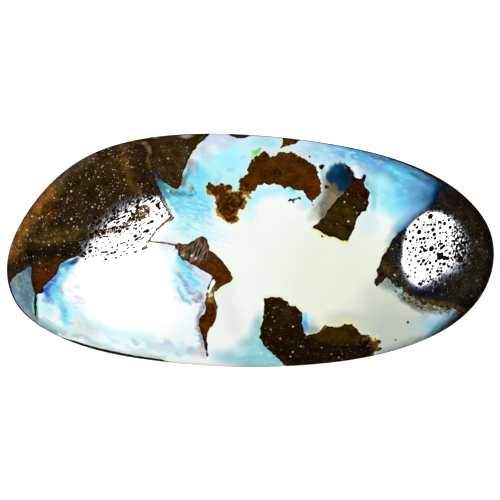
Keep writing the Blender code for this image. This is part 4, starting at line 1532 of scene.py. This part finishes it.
@dataclass(frozen=True)
class StoneFinish:
    """Polished opal, and the pitted ironstone that comes through it.

    Attributes:
        roughness: how rough both polish.
        opal_ior, iron_ior: how strongly each bends light.
        ragged, ragged_grain: how far the ironstone's edge wanders, and over what distance.
        edge_blur: half the width over which opal turns to ironstone.
        patch, fleck, stroke: sizes of the opal's patches, flecks and fine strokes of colour.
        mottle: size of the coarse mottling beside the ironstone.
        swirl: size of the opal's slow changes of brightness.
        fringe: width of the yellow fringe against the ironstone.
        fine, broad: sizes of the ironstone's fine and broad changes of brightness.
        nodule, hair: sizes of its lumps, and of its fibres across.
        rim, crust: widths of the dark rim and of the yellow crust along its edge.
        speckle: size of the areas where its pale grains crowd.
        dull_grain, frost_grain: sizes of the marks where it takes no polish.
        sharp: half the width over which a small mark begins.
    """

    roughness: float = 0.05
    opal_ior: float = 1.45
    iron_ior: float = 1.55
    ragged: float = 0.00007
    ragged_grain: float = 0.00042
    edge_blur: float = 0.00002
    patch: float = 0.0008
    fleck: float = 0.0006
    stroke: float = 0.00016
    mottle: float = 0.00020
    swirl: float = 0.0030
    fringe: float = 0.00030
    fine: float = 0.00014
    broad: float = 0.0008
    nodule: float = 0.00015
    hair: float = 0.00011
    rim: float = 0.00016
    crust: float = 0.00018
    speckle: float = 0.0016
    dull_grain: float = 0.00010
    frost_grain: float = 0.00011
    sharp: float = 0.00001

    def build(self) -> bpy.types.Material:
        """Makes the material.

        Returns:
            The material.
        """
        material = bpy.data.materials.new("boulder_opal")
        graph = Graph.of(material)
        depth = graph.level("iron_depth")
        ragged = graph.level(Mask.RAGGED.value) * self.ragged
        wander = (graph.clouds(self.ragged_grain, 5.0) - 0.5) * 4 * ragged
        edge = depth + wander
        opal = self._opal(graph, edge)
        ironstone = self._ironstone(graph, edge)
        sockets = {0: edge.step(-self.edge_blur, self.edge_blur), 1: opal, 2: ironstone}
        graph.finish(graph.add("ShaderNodeMixShader", None, sockets).outputs[0])
        return material

    def _opal(self, graph: Graph, edge: Level) -> bpy.types.NodeSocket:
        """Milky opal with its play of colour.

        Args:
            graph: the material's nodes.
            edge: how deep inside ironstone the surface is.

        Returns:
            Its shader's socket.
        """
        patches = graph.clouds(self.patch, 4.0, graph.place(turn=-25, stretch=1.6))
        flecks = graph.clouds(self.fleck)
        strokes = graph.clouds(self.stroke, 3.0, graph.place(turn=-22, stretch=2.6))
        mottles = graph.clouds(self.mottle, 4.0, graph.place(turn=-28, stretch=1.4))
        colour = graph.colour("opal_tint")
        for mask, pattern, low, high, strength, tint in (
            (Mask.PLAY, patches, 0.52, 0.64, 0.6, Tint.PALE_CYAN),
            (Mask.PLAY, patches, 0.46, 0.34, 0.45, Tint.PERIWINKLE),
            (Mask.PLAY, flecks, 0.54, 0.74, 0.4, Tint.MILK),
            (Mask.PLAY, flecks, 0.38, 0.28, 0.35, Tint.SEA_GREEN),
            (Mask.STREAKS, strokes, 0.50, 0.66, 0.6, Tint.MILK),
            (Mask.STREAKS, strokes, 0.47, 0.32, 0.55, Tint.SKY),
            (Mask.CRYSTALS, mottles, 0.50, 0.42, 0.8, Tint.DARK_OLIVE),
            (Mask.CRYSTALS, mottles, 0.56, 0.66, 0.5, Tint.MILK),
        ):
            share = graph.level(mask.value) * pattern.step(low, high) * strength
            colour = graph.mix(share, colour, tint)
        fringe = graph.level(Mask.FRINGE.value) * edge.step(-self.fringe, -2 * self.edge_blur)
        colour = graph.mix(fringe, colour, Tint.STRAW)
        colour = graph.scaled(colour, graph.clouds(self.swirl, 4.0) * 0.10 + 0.95)
        sockets = {"Base Color": colour, "Roughness": self.roughness, "IOR": self.opal_ior}
        return graph.add("ShaderNodeBsdfPrincipled", None, sockets).outputs[0]

    def _ironstone(self, graph: Graph, edge: Level) -> bpy.types.NodeSocket:
        """Dark brown ironstone with pale grains, nodules and polishing pits.

        Args:
            graph: the material's nodes.
            edge: how deep inside ironstone the surface is.

        Returns:
            Its shader's socket.
        """
        fine = graph.clouds(self.fine, 2.0)
        broad = graph.clouds(self.broad, 5.0)
        light = (fine - 0.5) * 2.2 + (broad - 0.5) * 2.6 + 0.9
        colour = graph.scaled(graph.colour("iron_tint"), light.at_least(0.2))
        _, pick, other = graph.grains(self.nodule)
        nodules = graph.level(Mask.NODULES.value)
        colour = graph.mix(nodules * (pick > 0.74) * 0.5, colour, Tint.OCHRE)
        colour = graph.mix(nodules * (other > 0.68) * 0.7, colour, Tint.BLACK_BROWN)
        hairs = graph.clouds(self.hair, 3.0, graph.place(turn=62, stretch=5.0))
        hairy = graph.level(Mask.HAIRS.value)
        colour = graph.mix(hairy * hairs.step(0.52, 0.60) * 0.5, colour, Tint.TAN)
        colour = graph.mix(hairy * hairs.step(0.48, 0.40) * 0.8, colour, Tint.NEAR_BLACK)
        rim = edge.step(self.rim, 3 * self.sharp) * (0.8 - nodules * 0.8)
        colour = graph.mix(rim, colour, Tint.NEAR_BLACK)
        crust = nodules.step(0.84, 0.96) * edge.step(self.crust, 2 * self.edge_blur) * broad.step(0.46, 0.54)
        colour = graph.mix(crust * 0.75, colour, Tint.YELLOW_OCHRE)
        colour = graph.mix(self._specks(graph), colour, Tint.PALE_TAN)
        # Painted glints: the middles of the brightest grains turn pure white.
        bright = graph.level("grain_glint_depth").step(2 * self.sharp, 5 * self.sharp)
        colour = graph.mix(bright, colour, Tint.WHITE)
        pits = self._pits(graph)
        sockets = {"Base Color": colour, "Roughness": self.roughness, "IOR": self.iron_ior}
        polished = graph.add("ShaderNodeBsdfPrincipled", None, sockets).outputs[0]
        # Painted shade: the colour in the pits and dashes is darkened to near black.
        dark = graph.mix(pits, colour, Tint.NEAR_BLACK)
        sockets = {"Base Color": dark, "Roughness": 1.0, "Specular IOR Level": 0.0}
        dull = graph.add("ShaderNodeBsdfPrincipled", None, sockets).outputs[0]
        sockets = {0: pits + self._dull(graph), 1: polished, 2: dull}
        return graph.add("ShaderNodeMixShader", None, sockets).outputs[0]

    def _specks(self, graph: Graph) -> Level:
        """Where pale grains of many sizes show in the ironstone.

        Args:
            graph: the material's nodes.

        Returns:
            How much they show.
        """
        crowded = graph.clouds(self.speckle, 2.0).step(0.30, 0.55)
        thick = graph.level(Mask.SPECKS.value) * crowded
        specks = graph.level("grain_glint_depth").step(-self.sharp, 3 * self.sharp) * 0.7
        for spacing, widest in ((0.00042, 0.00010), (0.00024, 0.00006), (0.00015, 0.00004)):
            distance, pick, other = graph.grains(spacing)
            size = pick.power(3.0) * widest + 0.000006
            speck = (distance - size).step(self.sharp, -self.sharp)
            specks = specks + speck * thick * (other * 0.8 + 0.15)
        return specks

    def _pits(self, graph: Graph) -> Level:
        """Where the polish is broken by pits and dashes, drawn out along the grain.

        Args:
            graph: the material's nodes.

        Returns:
            How much it is broken.
        """
        marked = graph.level("pit_depth")
        pits = marked.step(-4 * self.sharp, -self.sharp)
        clear = marked.step(-6 * self.sharp, -10 * self.sharp)
        for mask, spacing, turn, stretch, widest in (
            (Mask.PITS, 0.00024, 58, 1.25, 0.00013),
            (Mask.PITS, 0.00020, 46, 1.5, 0.00006),
            (Mask.DASHES, 0.00015, 34, 3.0, 0.00009),
        ):
            distance, pick, other = graph.grains(spacing, graph.place(turn, stretch))
            pit = (distance - pick * widest - self.sharp).step(self.sharp, -self.sharp)
            pits = pits + pit * clear * (graph.level(mask.value) > other)
        return pits

    def _dull(self, graph: Graph) -> Level:
        """Where the ironstone takes no polish: streaky bands, and a fine frost.

        Args:
            graph: the material's nodes.

        Returns:
            How dull it stays.
        """
        streaky = graph.clouds(self.dull_grain, 4.0, graph.place(turn=36, stretch=1.4))
        dull = (streaky - 0.5 + graph.level(Mask.DULL.value)).step(0.42, 0.56)
        frosted = graph.clouds(self.frost_grain, 1.0, graph.place(turn=60, stretch=1.8))
        frost = (frosted - 0.5 + graph.level(Mask.FROST.value)).step(0.44, 0.54)
        return dull + frost


@dataclass(frozen=True)
class OpalStone:
    """The polished stone: its fine surface and what is painted on it.

    Attributes:
        form: its shape.
        view: the photograph's view of it.
        finish: what its surface is.
        long_cells, wide_cells: cells of the dome along and across the stone.
        edge_rings: rings of cells round the edge under the widest line.
        back_cells_long, back_cells_wide: cells of the flat back.
        back_level: the height at which the back's cells wait to be shaped.
        back_reach: how far towards the flat back's edge its grid of cells reaches.
        even: share of the way out over which the dome's cells are all alike.
        hidden_from, hidden_to: shares of the widest line's height where the front's colours
            begin to give way to the hidden side's, and have given way.
        mark_margin: how far outside a mark its depth still falls, in pixels.
    """

    form: StoneForm
    view: View
    finish: StoneFinish = StoneFinish()
    long_cells: int = 400
    wide_cells: int = 190
    edge_rings: int = 8
    back_cells_long: int = 96
    back_cells_wide: int = 46
    back_level: float = -100.0
    back_reach: float = 0.985
    even: float = 0.8
    hidden_from: float = 1.3
    hidden_to: float = 0.3
    mark_margin: float = 3.0

    def build(self) -> bpy.types.Object:
        """Makes the stone.

        Returns:
            The finished object, riding on the solid's body in its place.
        """
        stone = self._cells()
        mesh = stone.data
        points = self._shaped(mesh)
        level = points[:, 2] / self.form.girdle_height(points[:, 0])
        hidden = fade(level, self.hidden_to, self.hidden_from)
        pixels = self.view.pixels(points)
        depth = self._iron_depth(points, pixels)
        mesh.vertices.foreach_set("co", points.ravel())
        mesh.update()
        self._paint(mesh, pixels, depth, hidden)
        mesh.materials.clear()
        mesh.materials.append(self.finish.build())
        mesh.shade_smooth()
        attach(stone, "root")
        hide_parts(STONE_NODE)
        return stone

    def _cells(self) -> bpy.types.Object:
        """Makes the stone's cells: a grid for the dome, rings for the edge, a grid for the back.

        The rings stand at z -1, -2 and so on, and the back's grid at its own level below them.

        Returns:
            The cells' object.
        """
        bpy.ops.object.select_all(action="DESELECT")
        bpy.ops.mesh.primitive_grid_add(
            x_subdivisions=self.long_cells, y_subdivisions=self.wide_cells, size=2
        )
        stone = bpy.context.object
        stone.name = stone.data.name = "polished_opal_stone"
        bpy.ops.object.mode_set(mode="EDIT")
        bpy.ops.mesh.select_mode(type="EDGE")
        bpy.ops.mesh.select_all(action="SELECT")
        bpy.ops.mesh.region_to_loop()
        for _ in range(self.edge_rings):
            bpy.ops.mesh.extrude_region_move(TRANSFORM_OT_translate={"value": (0, 0, -1)})
        bpy.ops.mesh.select_all(action="DESELECT")
        bpy.ops.mesh.primitive_grid_add(
            x_subdivisions=self.back_cells_long,
            y_subdivisions=self.back_cells_wide,
            size=2,
            location=(0, 0, self.back_level),
        )
        bpy.ops.mesh.select_mode(type="EDGE")
        bpy.ops.mesh.select_all(action="DESELECT")
        bpy.ops.mesh.select_non_manifold()
        bpy.ops.mesh.bridge_edge_loops()
        bpy.ops.mesh.select_all(action="SELECT")
        bpy.ops.mesh.normals_make_consistent(inside=False)
        bpy.ops.object.mode_set(mode="OBJECT")
        return stone

    def _shaped(self, mesh: bpy.types.Mesh) -> np.ndarray:
        """Places of the cells' corners on the stone.

        Args:
            mesh: the cells, each grid from -1 to 1 along and across.

        Returns:
            The places, in metres, one a row.
        """
        flat = np.zeros(len(mesh.vertices) * 3)
        mesh.vertices.foreach_get("co", flat)
        cells = flat.reshape(-1, 3)
        reach = np.abs(cells[:, :2]).max(axis=1)
        edge = self.form.edge(self._turns(cells[:, 0], cells[:, 1], reach))
        level = np.rint(cells[:, 2])
        share = self._spread(reach)
        crown = np.array(self.form.crown)
        flat_places = edge * share[:, None] + crown * (1 - share[:, None])
        points = np.column_stack([flat_places, self.form.dome_height(flat_places)])
        back = level == self.back_level
        around = (level < 0) & ~back
        angle = math.pi / 2 * (-level[around] / self.edge_rings)
        inset = self.form.back_inset * (1 - np.cos(angle))
        narrowed = 1 - inset[:, None] / (self.form.length / 2, self.form.width / 2)
        rim = edge[around] * narrowed
        girdle = self.form.girdle_height(rim[:, 0])
        points[around] = np.column_stack([rim, girdle * (1 - np.sin(angle))])
        inner = 1 - self.form.back_inset / np.array((self.form.length / 2, self.form.width / 2))
        on_back = edge[back] * inner * (self.back_reach * reach[back])[:, None]
        points[back] = np.column_stack([on_back, np.zeros(back.sum())])
        return points

    def _turns(
        self, across: np.ndarray, along: np.ndarray, reach: np.ndarray, close: float = 1e-9
    ) -> np.ndarray:
        """How far round the outline the cells' corners point.

        The grid's four sides take lengths of the outline in the ratio of their cells.

        Args:
            across, along: each corner's place on the grid, from -1 to 1.
            reach: how far out it is on the grid, from 0 to 1.
            close: how near a side counts as on it.

        Returns:
            Turns from 0 to 1, anticlockwise from the broad tip.
        """
        scale = np.where(reach > 0, reach, 1)
        u, v = across / scale, along / scale
        long, wide = self.long_cells, self.wide_cells
        low = (v <= -1 + close, (u + 1) / 2 * long + wide / 2)
        right = (u >= 1 - close, wide / 2 + long + (v + 1) / 2 * wide)
        high = (v >= 1 - close, wide * 1.5 + long + (1 - u) / 2 * long)
        left = (u <= -1 + close, wide * 1.5 + 2 * long + (1 - v) / 2 * wide)
        cases = (low, right, high, left)
        steps = np.select([case[0] for case in cases], [case[1] for case in cases])
        return steps / (2 * (long + wide))

    def _spread(self, reach: np.ndarray) -> np.ndarray:
        """Shares of the way out to the outline: even in the middle, crowded at the round rim.

        Args:
            reach: how far out corners are on the grid, from 0 to 1.

        Returns:
            The shares, from 0 to 1.
        """
        slope = 2 / (1 + self.even)
        crowd = slope / (2 * (1 - self.even))
        return np.where(reach < self.even, slope * reach, 1 - crowd * (1 - reach) ** 2)

    def _iron_depth(self, points: np.ndarray, pixels: np.ndarray) -> np.ndarray:
        """How deep in ironstone the stone's points lie.

        Args:
            points: the points, in metres, one a row.
            pixels: where the picture shows them.

        Returns:
            Depths in metres, below 0 in opal.
        """
        depth = IRONSTONE.depth(pixels) * self.view.scale
        spots = np.array(RIM_LIMIT)
        bearings = np.arctan2(self.view.middle - spots[:, 1], spots[:, 0] - self.view.middle)
        bearing = np.arctan2(points[:, 1], points[:, 0])
        limit = np.interp(bearing, bearings, spots[:, 2] * MILLIMETRE, period=2 * math.pi)
        height = points[:, 2] - self.form.girdle_height(points[:, 0])
        return np.maximum(depth, limit - height)

    def _paint(
        self, mesh: bpy.types.Mesh, pixels: np.ndarray, depth: np.ndarray, hidden: np.ndarray
    ) -> None:
        """Paints the colours and masks that the finish reads.

        Args:
            mesh: the stone's mesh.
            pixels: where the picture shows its corners.
            depth: how deep they lie in ironstone, in metres.
            hidden: how much each belongs to the hidden side.
        """
        wander = self._wander(pixels)
        opal = painted(Tint.PALE_CREAM, OPAL_WASHES, wander)
        iron = painted(Tint.DARK_BROWN, IRONSTONE_WASHES, wander)
        under = painted(Tint.DARK_BROWN, BACK_WASHES, wander)
        iron += (under - iron) * hidden[:, None]
        self._set_colour(mesh, "opal_tint", opal)
        self._set_colour(mesh, "iron_tint", iron)
        self._set_level(mesh, "iron_depth", depth)
        for name, marks in (("pit_depth", PIT_SPOTS), ("grain_glint_depth", GRAIN_GLINT_SPOTS)):
            deep = np.max([mark.depth(pixels) for mark in marks], axis=0)
            self._set_level(mesh, name, deep.clip(-self.mark_margin) * self.view.scale)
        for mask, (ground, marks) in MASKS.items():
            self._set_level(mesh, mask.value, covered(ground, marks, pixels))

    @staticmethod
    def _wander(pixels: np.ndarray, grain: float = 16.0, reach: float = 2.4) -> np.ndarray:
        """Moves places about a little, so that the colours laid at them have natural outlines.

        Args:
            pixels: the places, one a row.
            grain: how far apart places are that move in ways of their own.
            reach: how far they move at most, roughly.

        Returns:
            The moved places.
        """
        noise.seed_set(WANDER_SEED)
        places = (Vector((x / grain, y / grain, 0.5)) for x, y in pixels)
        moved = [noise.turbulence_vector(place, 3, False) for place in places]
        return pixels + reach * np.array(moved)[:, :2]

    @staticmethod
    def _set_level(mesh: bpy.types.Mesh, name: str, values: np.ndarray) -> None:
        """Stores a number for each corner of the mesh."""
        mesh.attributes.new(name, "FLOAT", "POINT").data.foreach_set("value", values.astype(np.float32))

    @staticmethod
    def _set_colour(mesh: bpy.types.Mesh, name: str, colours: np.ndarray) -> None:
        """Stores a colour for each corner of the mesh."""
        full = np.column_stack([colours, np.ones(len(colours))]).astype(np.float32)
        mesh.attributes.new(name, "FLOAT_COLOR", "POINT").data.foreach_set("color", full.ravel())


@dataclass(frozen=True)
class Softbox:
    """A card of light that shows only as a gleam on the polish.

    Attributes:
        name: its name.
        gleam: the outline of its reflection in the photograph, each corner a pixel place
            and the number of pixels further out over which the light dies away there.
        edge_colour: the colour that its light turns to where it dies away.
        strength: how bright it is.
        distance: how far from the stone it hangs.
        falloff: how steeply its light dies away.
        white_from: the share of its light at which it begins to turn white.
    """

    name: str
    gleam: tuple[tuple[float, float, float], ...]
    edge_colour: Colour
    strength: float = 40.0
    distance: float = 0.25
    falloff: float = 3.0
    white_from: float = 0.3

    def build(self, form: StoneForm, view: View) -> bpy.types.Object:
        """Hangs the card where the dome mirrors it to the camera at its gleam.

        Args:
            form: the stone's shape.
            view: the photograph's view of it.

        Returns:
            The card.
        """
        bpy.ops.object.select_all(action="DESELECT")
        bpy.ops.mesh.primitive_circle_add(vertices=len(self.gleam), fill_type="TRIFAN")
        card = bpy.context.object
        card.name = card.data.name = self.name
        bpy.ops.object.mode_set(mode="EDIT")
        bpy.ops.mesh.select_all(action="SELECT")
        bpy.ops.mesh.region_to_loop()
        bpy.ops.mesh.extrude_region_move(TRANSFORM_OT_translate={"value": (0, 0, 1)})
        bpy.ops.object.mode_set(mode="OBJECT")
        corners = np.array(self.gleam)
        middle = corners[:, :2].mean(axis=0)
        out = corners[:, :2] - middle
        outer = corners[:, :2] + out / np.linalg.norm(out, axis=1)[:, None] * corners[:, 2:]
        glow = np.ones(len(card.data.vertices), np.float32)
        for index, vertex in enumerate(card.data.vertices):
            bearing = round(math.atan2(vertex.co.y, vertex.co.x) / (2 * math.pi) * len(corners))
            raised = vertex.co.z > 0.5
            ring = outer if raised else corners[:, :2]
            glow[index] = 0.0 if raised else 1.0
            pixel = middle if vertex.co.xy.length < 0.5 else ring[bearing]
            vertex.co = self._mirrored(tuple(pixel), form, view)
        card.data.attributes.new("glow", "FLOAT", "POINT").data.foreach_set("value", glow)
        card.data.update()
        card.data.materials.append(self._light())
        card.visible_camera = card.visible_diffuse = False
        card.visible_shadow = card.visible_transmission = False
        return card

    def _mirrored(self, pixel: Point, form: StoneForm, view: View) -> np.ndarray:
        """Finds the place on the card that the dome mirrors at a pixel.

        Args:
            pixel: its place in the picture.
            form: the stone's shape.
            view: the photograph's view of it.

        Returns:
            The place, in metres.
        """
        point = view.above(pixel, form)
        ray = point - view.place
        ray /= np.linalg.norm(ray)
        normal = form.normal(point)
        ray -= 2 * (ray @ normal) * normal
        return point + ray * self.distance

    def _light(self) -> bpy.types.Material:
        """Makes its light, white in the middle.

        Returns:
            The light's material.
        """
        material = bpy.data.materials.new(self.name)
        graph = Graph.of(material)
        glow = graph.level("glow")
        whiteness = glow.step(self.white_from, 1.0)
        colour = graph.mix(whiteness, (*self.edge_colour, 1.0), (1.0, 1.0, 1.0, 1.0))
        sockets = {"Color": colour, "Strength": glow.power(self.falloff) * self.strength}
        graph.finish(graph.add("ShaderNodeEmission", None, sockets).outputs[0])
        return material


LEFT_GLEAM: tuple[tuple[float, float, float], ...] = (
    (82, 263, 6), (92, 245, 14), (104, 230, 18), (119, 217, 18), (135, 207, 16), (149, 200, 9),
    (160, 199, 2), (166, 208, 2), (172, 217, 2), (162, 228, 8), (156, 240, 18), (153, 262, 24),
    (153, 290, 28), (150, 306, 28), (138, 313, 24), (120, 314, 20), (104, 308, 15), (92, 298, 10),
    (84, 280, 8),
)
RIGHT_GLEAM: tuple[tuple[float, float, float], ...] = (
    (402, 262, 3), (404, 244, 3), (408, 229, 3), (417, 219, 2), (428, 212.5, 3), (440, 213.5, 5),
    (451, 219.5, 7), (457, 229, 11), (459, 241, 17), (456, 252, 22), (449, 260.5, 22), (440, 269, 18),
    (430, 280, 12), (418, 284, 8), (408, 277, 5),
)


@dataclass(frozen=True)
class BroadLight:
    """A broad lamp that lights the stone without a gleam.

    Attributes:
        name: its name.
        place: where it hangs. It faces the stone.
        power: its power in watts.
        size: the length of its sides.
    """

    name: str
    place: tuple[float, float, float]
    power: float
    size: float = 0.3

    def build(self) -> None:
        """Hangs the lamp."""
        bpy.ops.object.light_add(type="AREA", location=self.place)
        light = bpy.context.object
        light.name = self.name
        light.data.energy = self.power
        light.data.size = self.size
        light.rotation_euler = Vector(self.place).to_track_quat("Z", "Y").to_euler()
        light.visible_glossy = False


@dataclass(frozen=True)
class Studio:
    """A plain white studio: floor, soft light and the camera.

    Attributes:
        form: the stone's shape.
        view: the photograph's view of it.
        floor_side: how long and wide the floor is.
        floor_gap: how far it lies under the flat back, so that the two never flicker.
        floor_grey, floor_roughness, floor_glow: its brightness, how rough it is, and the
            light of its own that keeps it white.
        surround: strength of the soft light from all round.
        sensor: the camera's sensor, in millimetres.
        nearest: the nearest distance at which the camera sees.
    """

    form: StoneForm
    view: View
    floor_side: float = 2.0
    floor_gap: float = 0.0001
    floor_grey: float = 0.8
    floor_roughness: float = 0.9
    floor_glow: float = 0.8
    surround: float = 0.63
    sensor: float = 36.0
    nearest: float = 0.01

    def build(self) -> None:
        """Sets up the whole studio."""
        self._floor()
        self._lights()
        self._camera()
        scene = bpy.context.scene
        scene.view_settings.view_transform = "Standard"
        world = bpy.data.worlds.new("studio")
        scene.world = world
        world.use_nodes = True
        background = world.node_tree.nodes["Background"]
        background.inputs["Color"].default_value = (1.0, 1.0, 1.0, 1.0)
        background.inputs["Strength"].default_value = self.surround
        world.cycles_visibility.glossy = False

    def _floor(self) -> None:
        """Lays the white floor, which is clear from below so that the stone's back can be seen."""
        bpy.ops.object.select_all(action="DESELECT")
        bpy.ops.mesh.primitive_plane_add(size=self.floor_side, location=(0, 0, -self.floor_gap))
        floor = bpy.context.object
        floor.name = floor.data.name = "studio_floor"
        material = bpy.data.materials.new("white_floor")
        material.use_nodes = True
        shader = material.node_tree.nodes["Principled BSDF"]
        shader.inputs["Base Color"].default_value = (*[self.floor_grey] * 3, 1.0)
        shader.inputs["Roughness"].default_value = self.floor_roughness
        shader.inputs["Emission Color"].default_value = (1.0, 1.0, 1.0, 1.0)
        shader.inputs["Emission Strength"].default_value = self.floor_glow
        graph = Graph(material.node_tree)
        below = graph.add("ShaderNodeNewGeometry").outputs["Backfacing"]
        clear = graph.add("ShaderNodeBsdfTransparent").outputs[0]
        surface = graph.add("ShaderNodeMixShader", None, {0: below, 1: shader.outputs[0], 2: clear})
        output = material.node_tree.nodes["Material Output"]
        graph.tree.links.new(surface.outputs[0], output.inputs["Surface"])
        material.cycles.emission_sampling = "NONE"
        floor.data.materials.append(material)
        floor.visible_glossy = False

    def _lights(self) -> None:
        """Hangs the gleaming softboxes, and two broad lights that light without a gleam."""
        Softbox("left_softbox", LEFT_GLEAM, edge_colour=(0.6, 0.6, 0.8)).build(self.form, self.view)
        Softbox("right_softbox", RIGHT_GLEAM, edge_colour=(0.4, 0.5, 0.85)).build(self.form, self.view)
        BroadLight("upper_left_light", (-0.25, 0.10, 0.5), power=1.0).build()
        BroadLight("upper_right_light", (0.20, 0.12, 0.5), power=0.5).build()

    def _camera(self) -> None:
        """Puts the camera straight above the stone, framed as the photograph is."""
        bpy.ops.object.camera_add(location=tuple(self.view.place), rotation=(0, 0, 0))
        camera = bpy.context.object
        camera.data.sensor_width = self.sensor
        camera.data.lens = self.sensor * self.view.height / (self.view.frame * self.view.scale)
        camera.data.clip_start = self.nearest
        off = (self.view.frame / 2 - self.view.middle) / self.view.frame
        camera.data.shift_x = off
        camera.data.shift_y = -off
        bpy.context.scene.camera = camera


def main() -> None:
    """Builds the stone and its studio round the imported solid."""
    logging.basicConfig(level=logging.INFO, format="%(name)s: %(message)s")
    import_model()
    low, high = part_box(STONE_NODE)
    size = high - low
    form = StoneForm(length=size.x, width=size.y, height=STONE_HEIGHT)
    scale = form.length / (NARROW_TIP - BROAD_TIP)
    view = View(height=CAMERA_HEIGHT, widest=form.girdle, scale=scale)
    stone = OpalStone(form, view).build()
    LOG.info("%s: %d faces", stone.name, len(stone.data.polygons))
    Studio(form, view).build()
    LOG.info("studio ready")


if __name__ == "__main__":
    main()
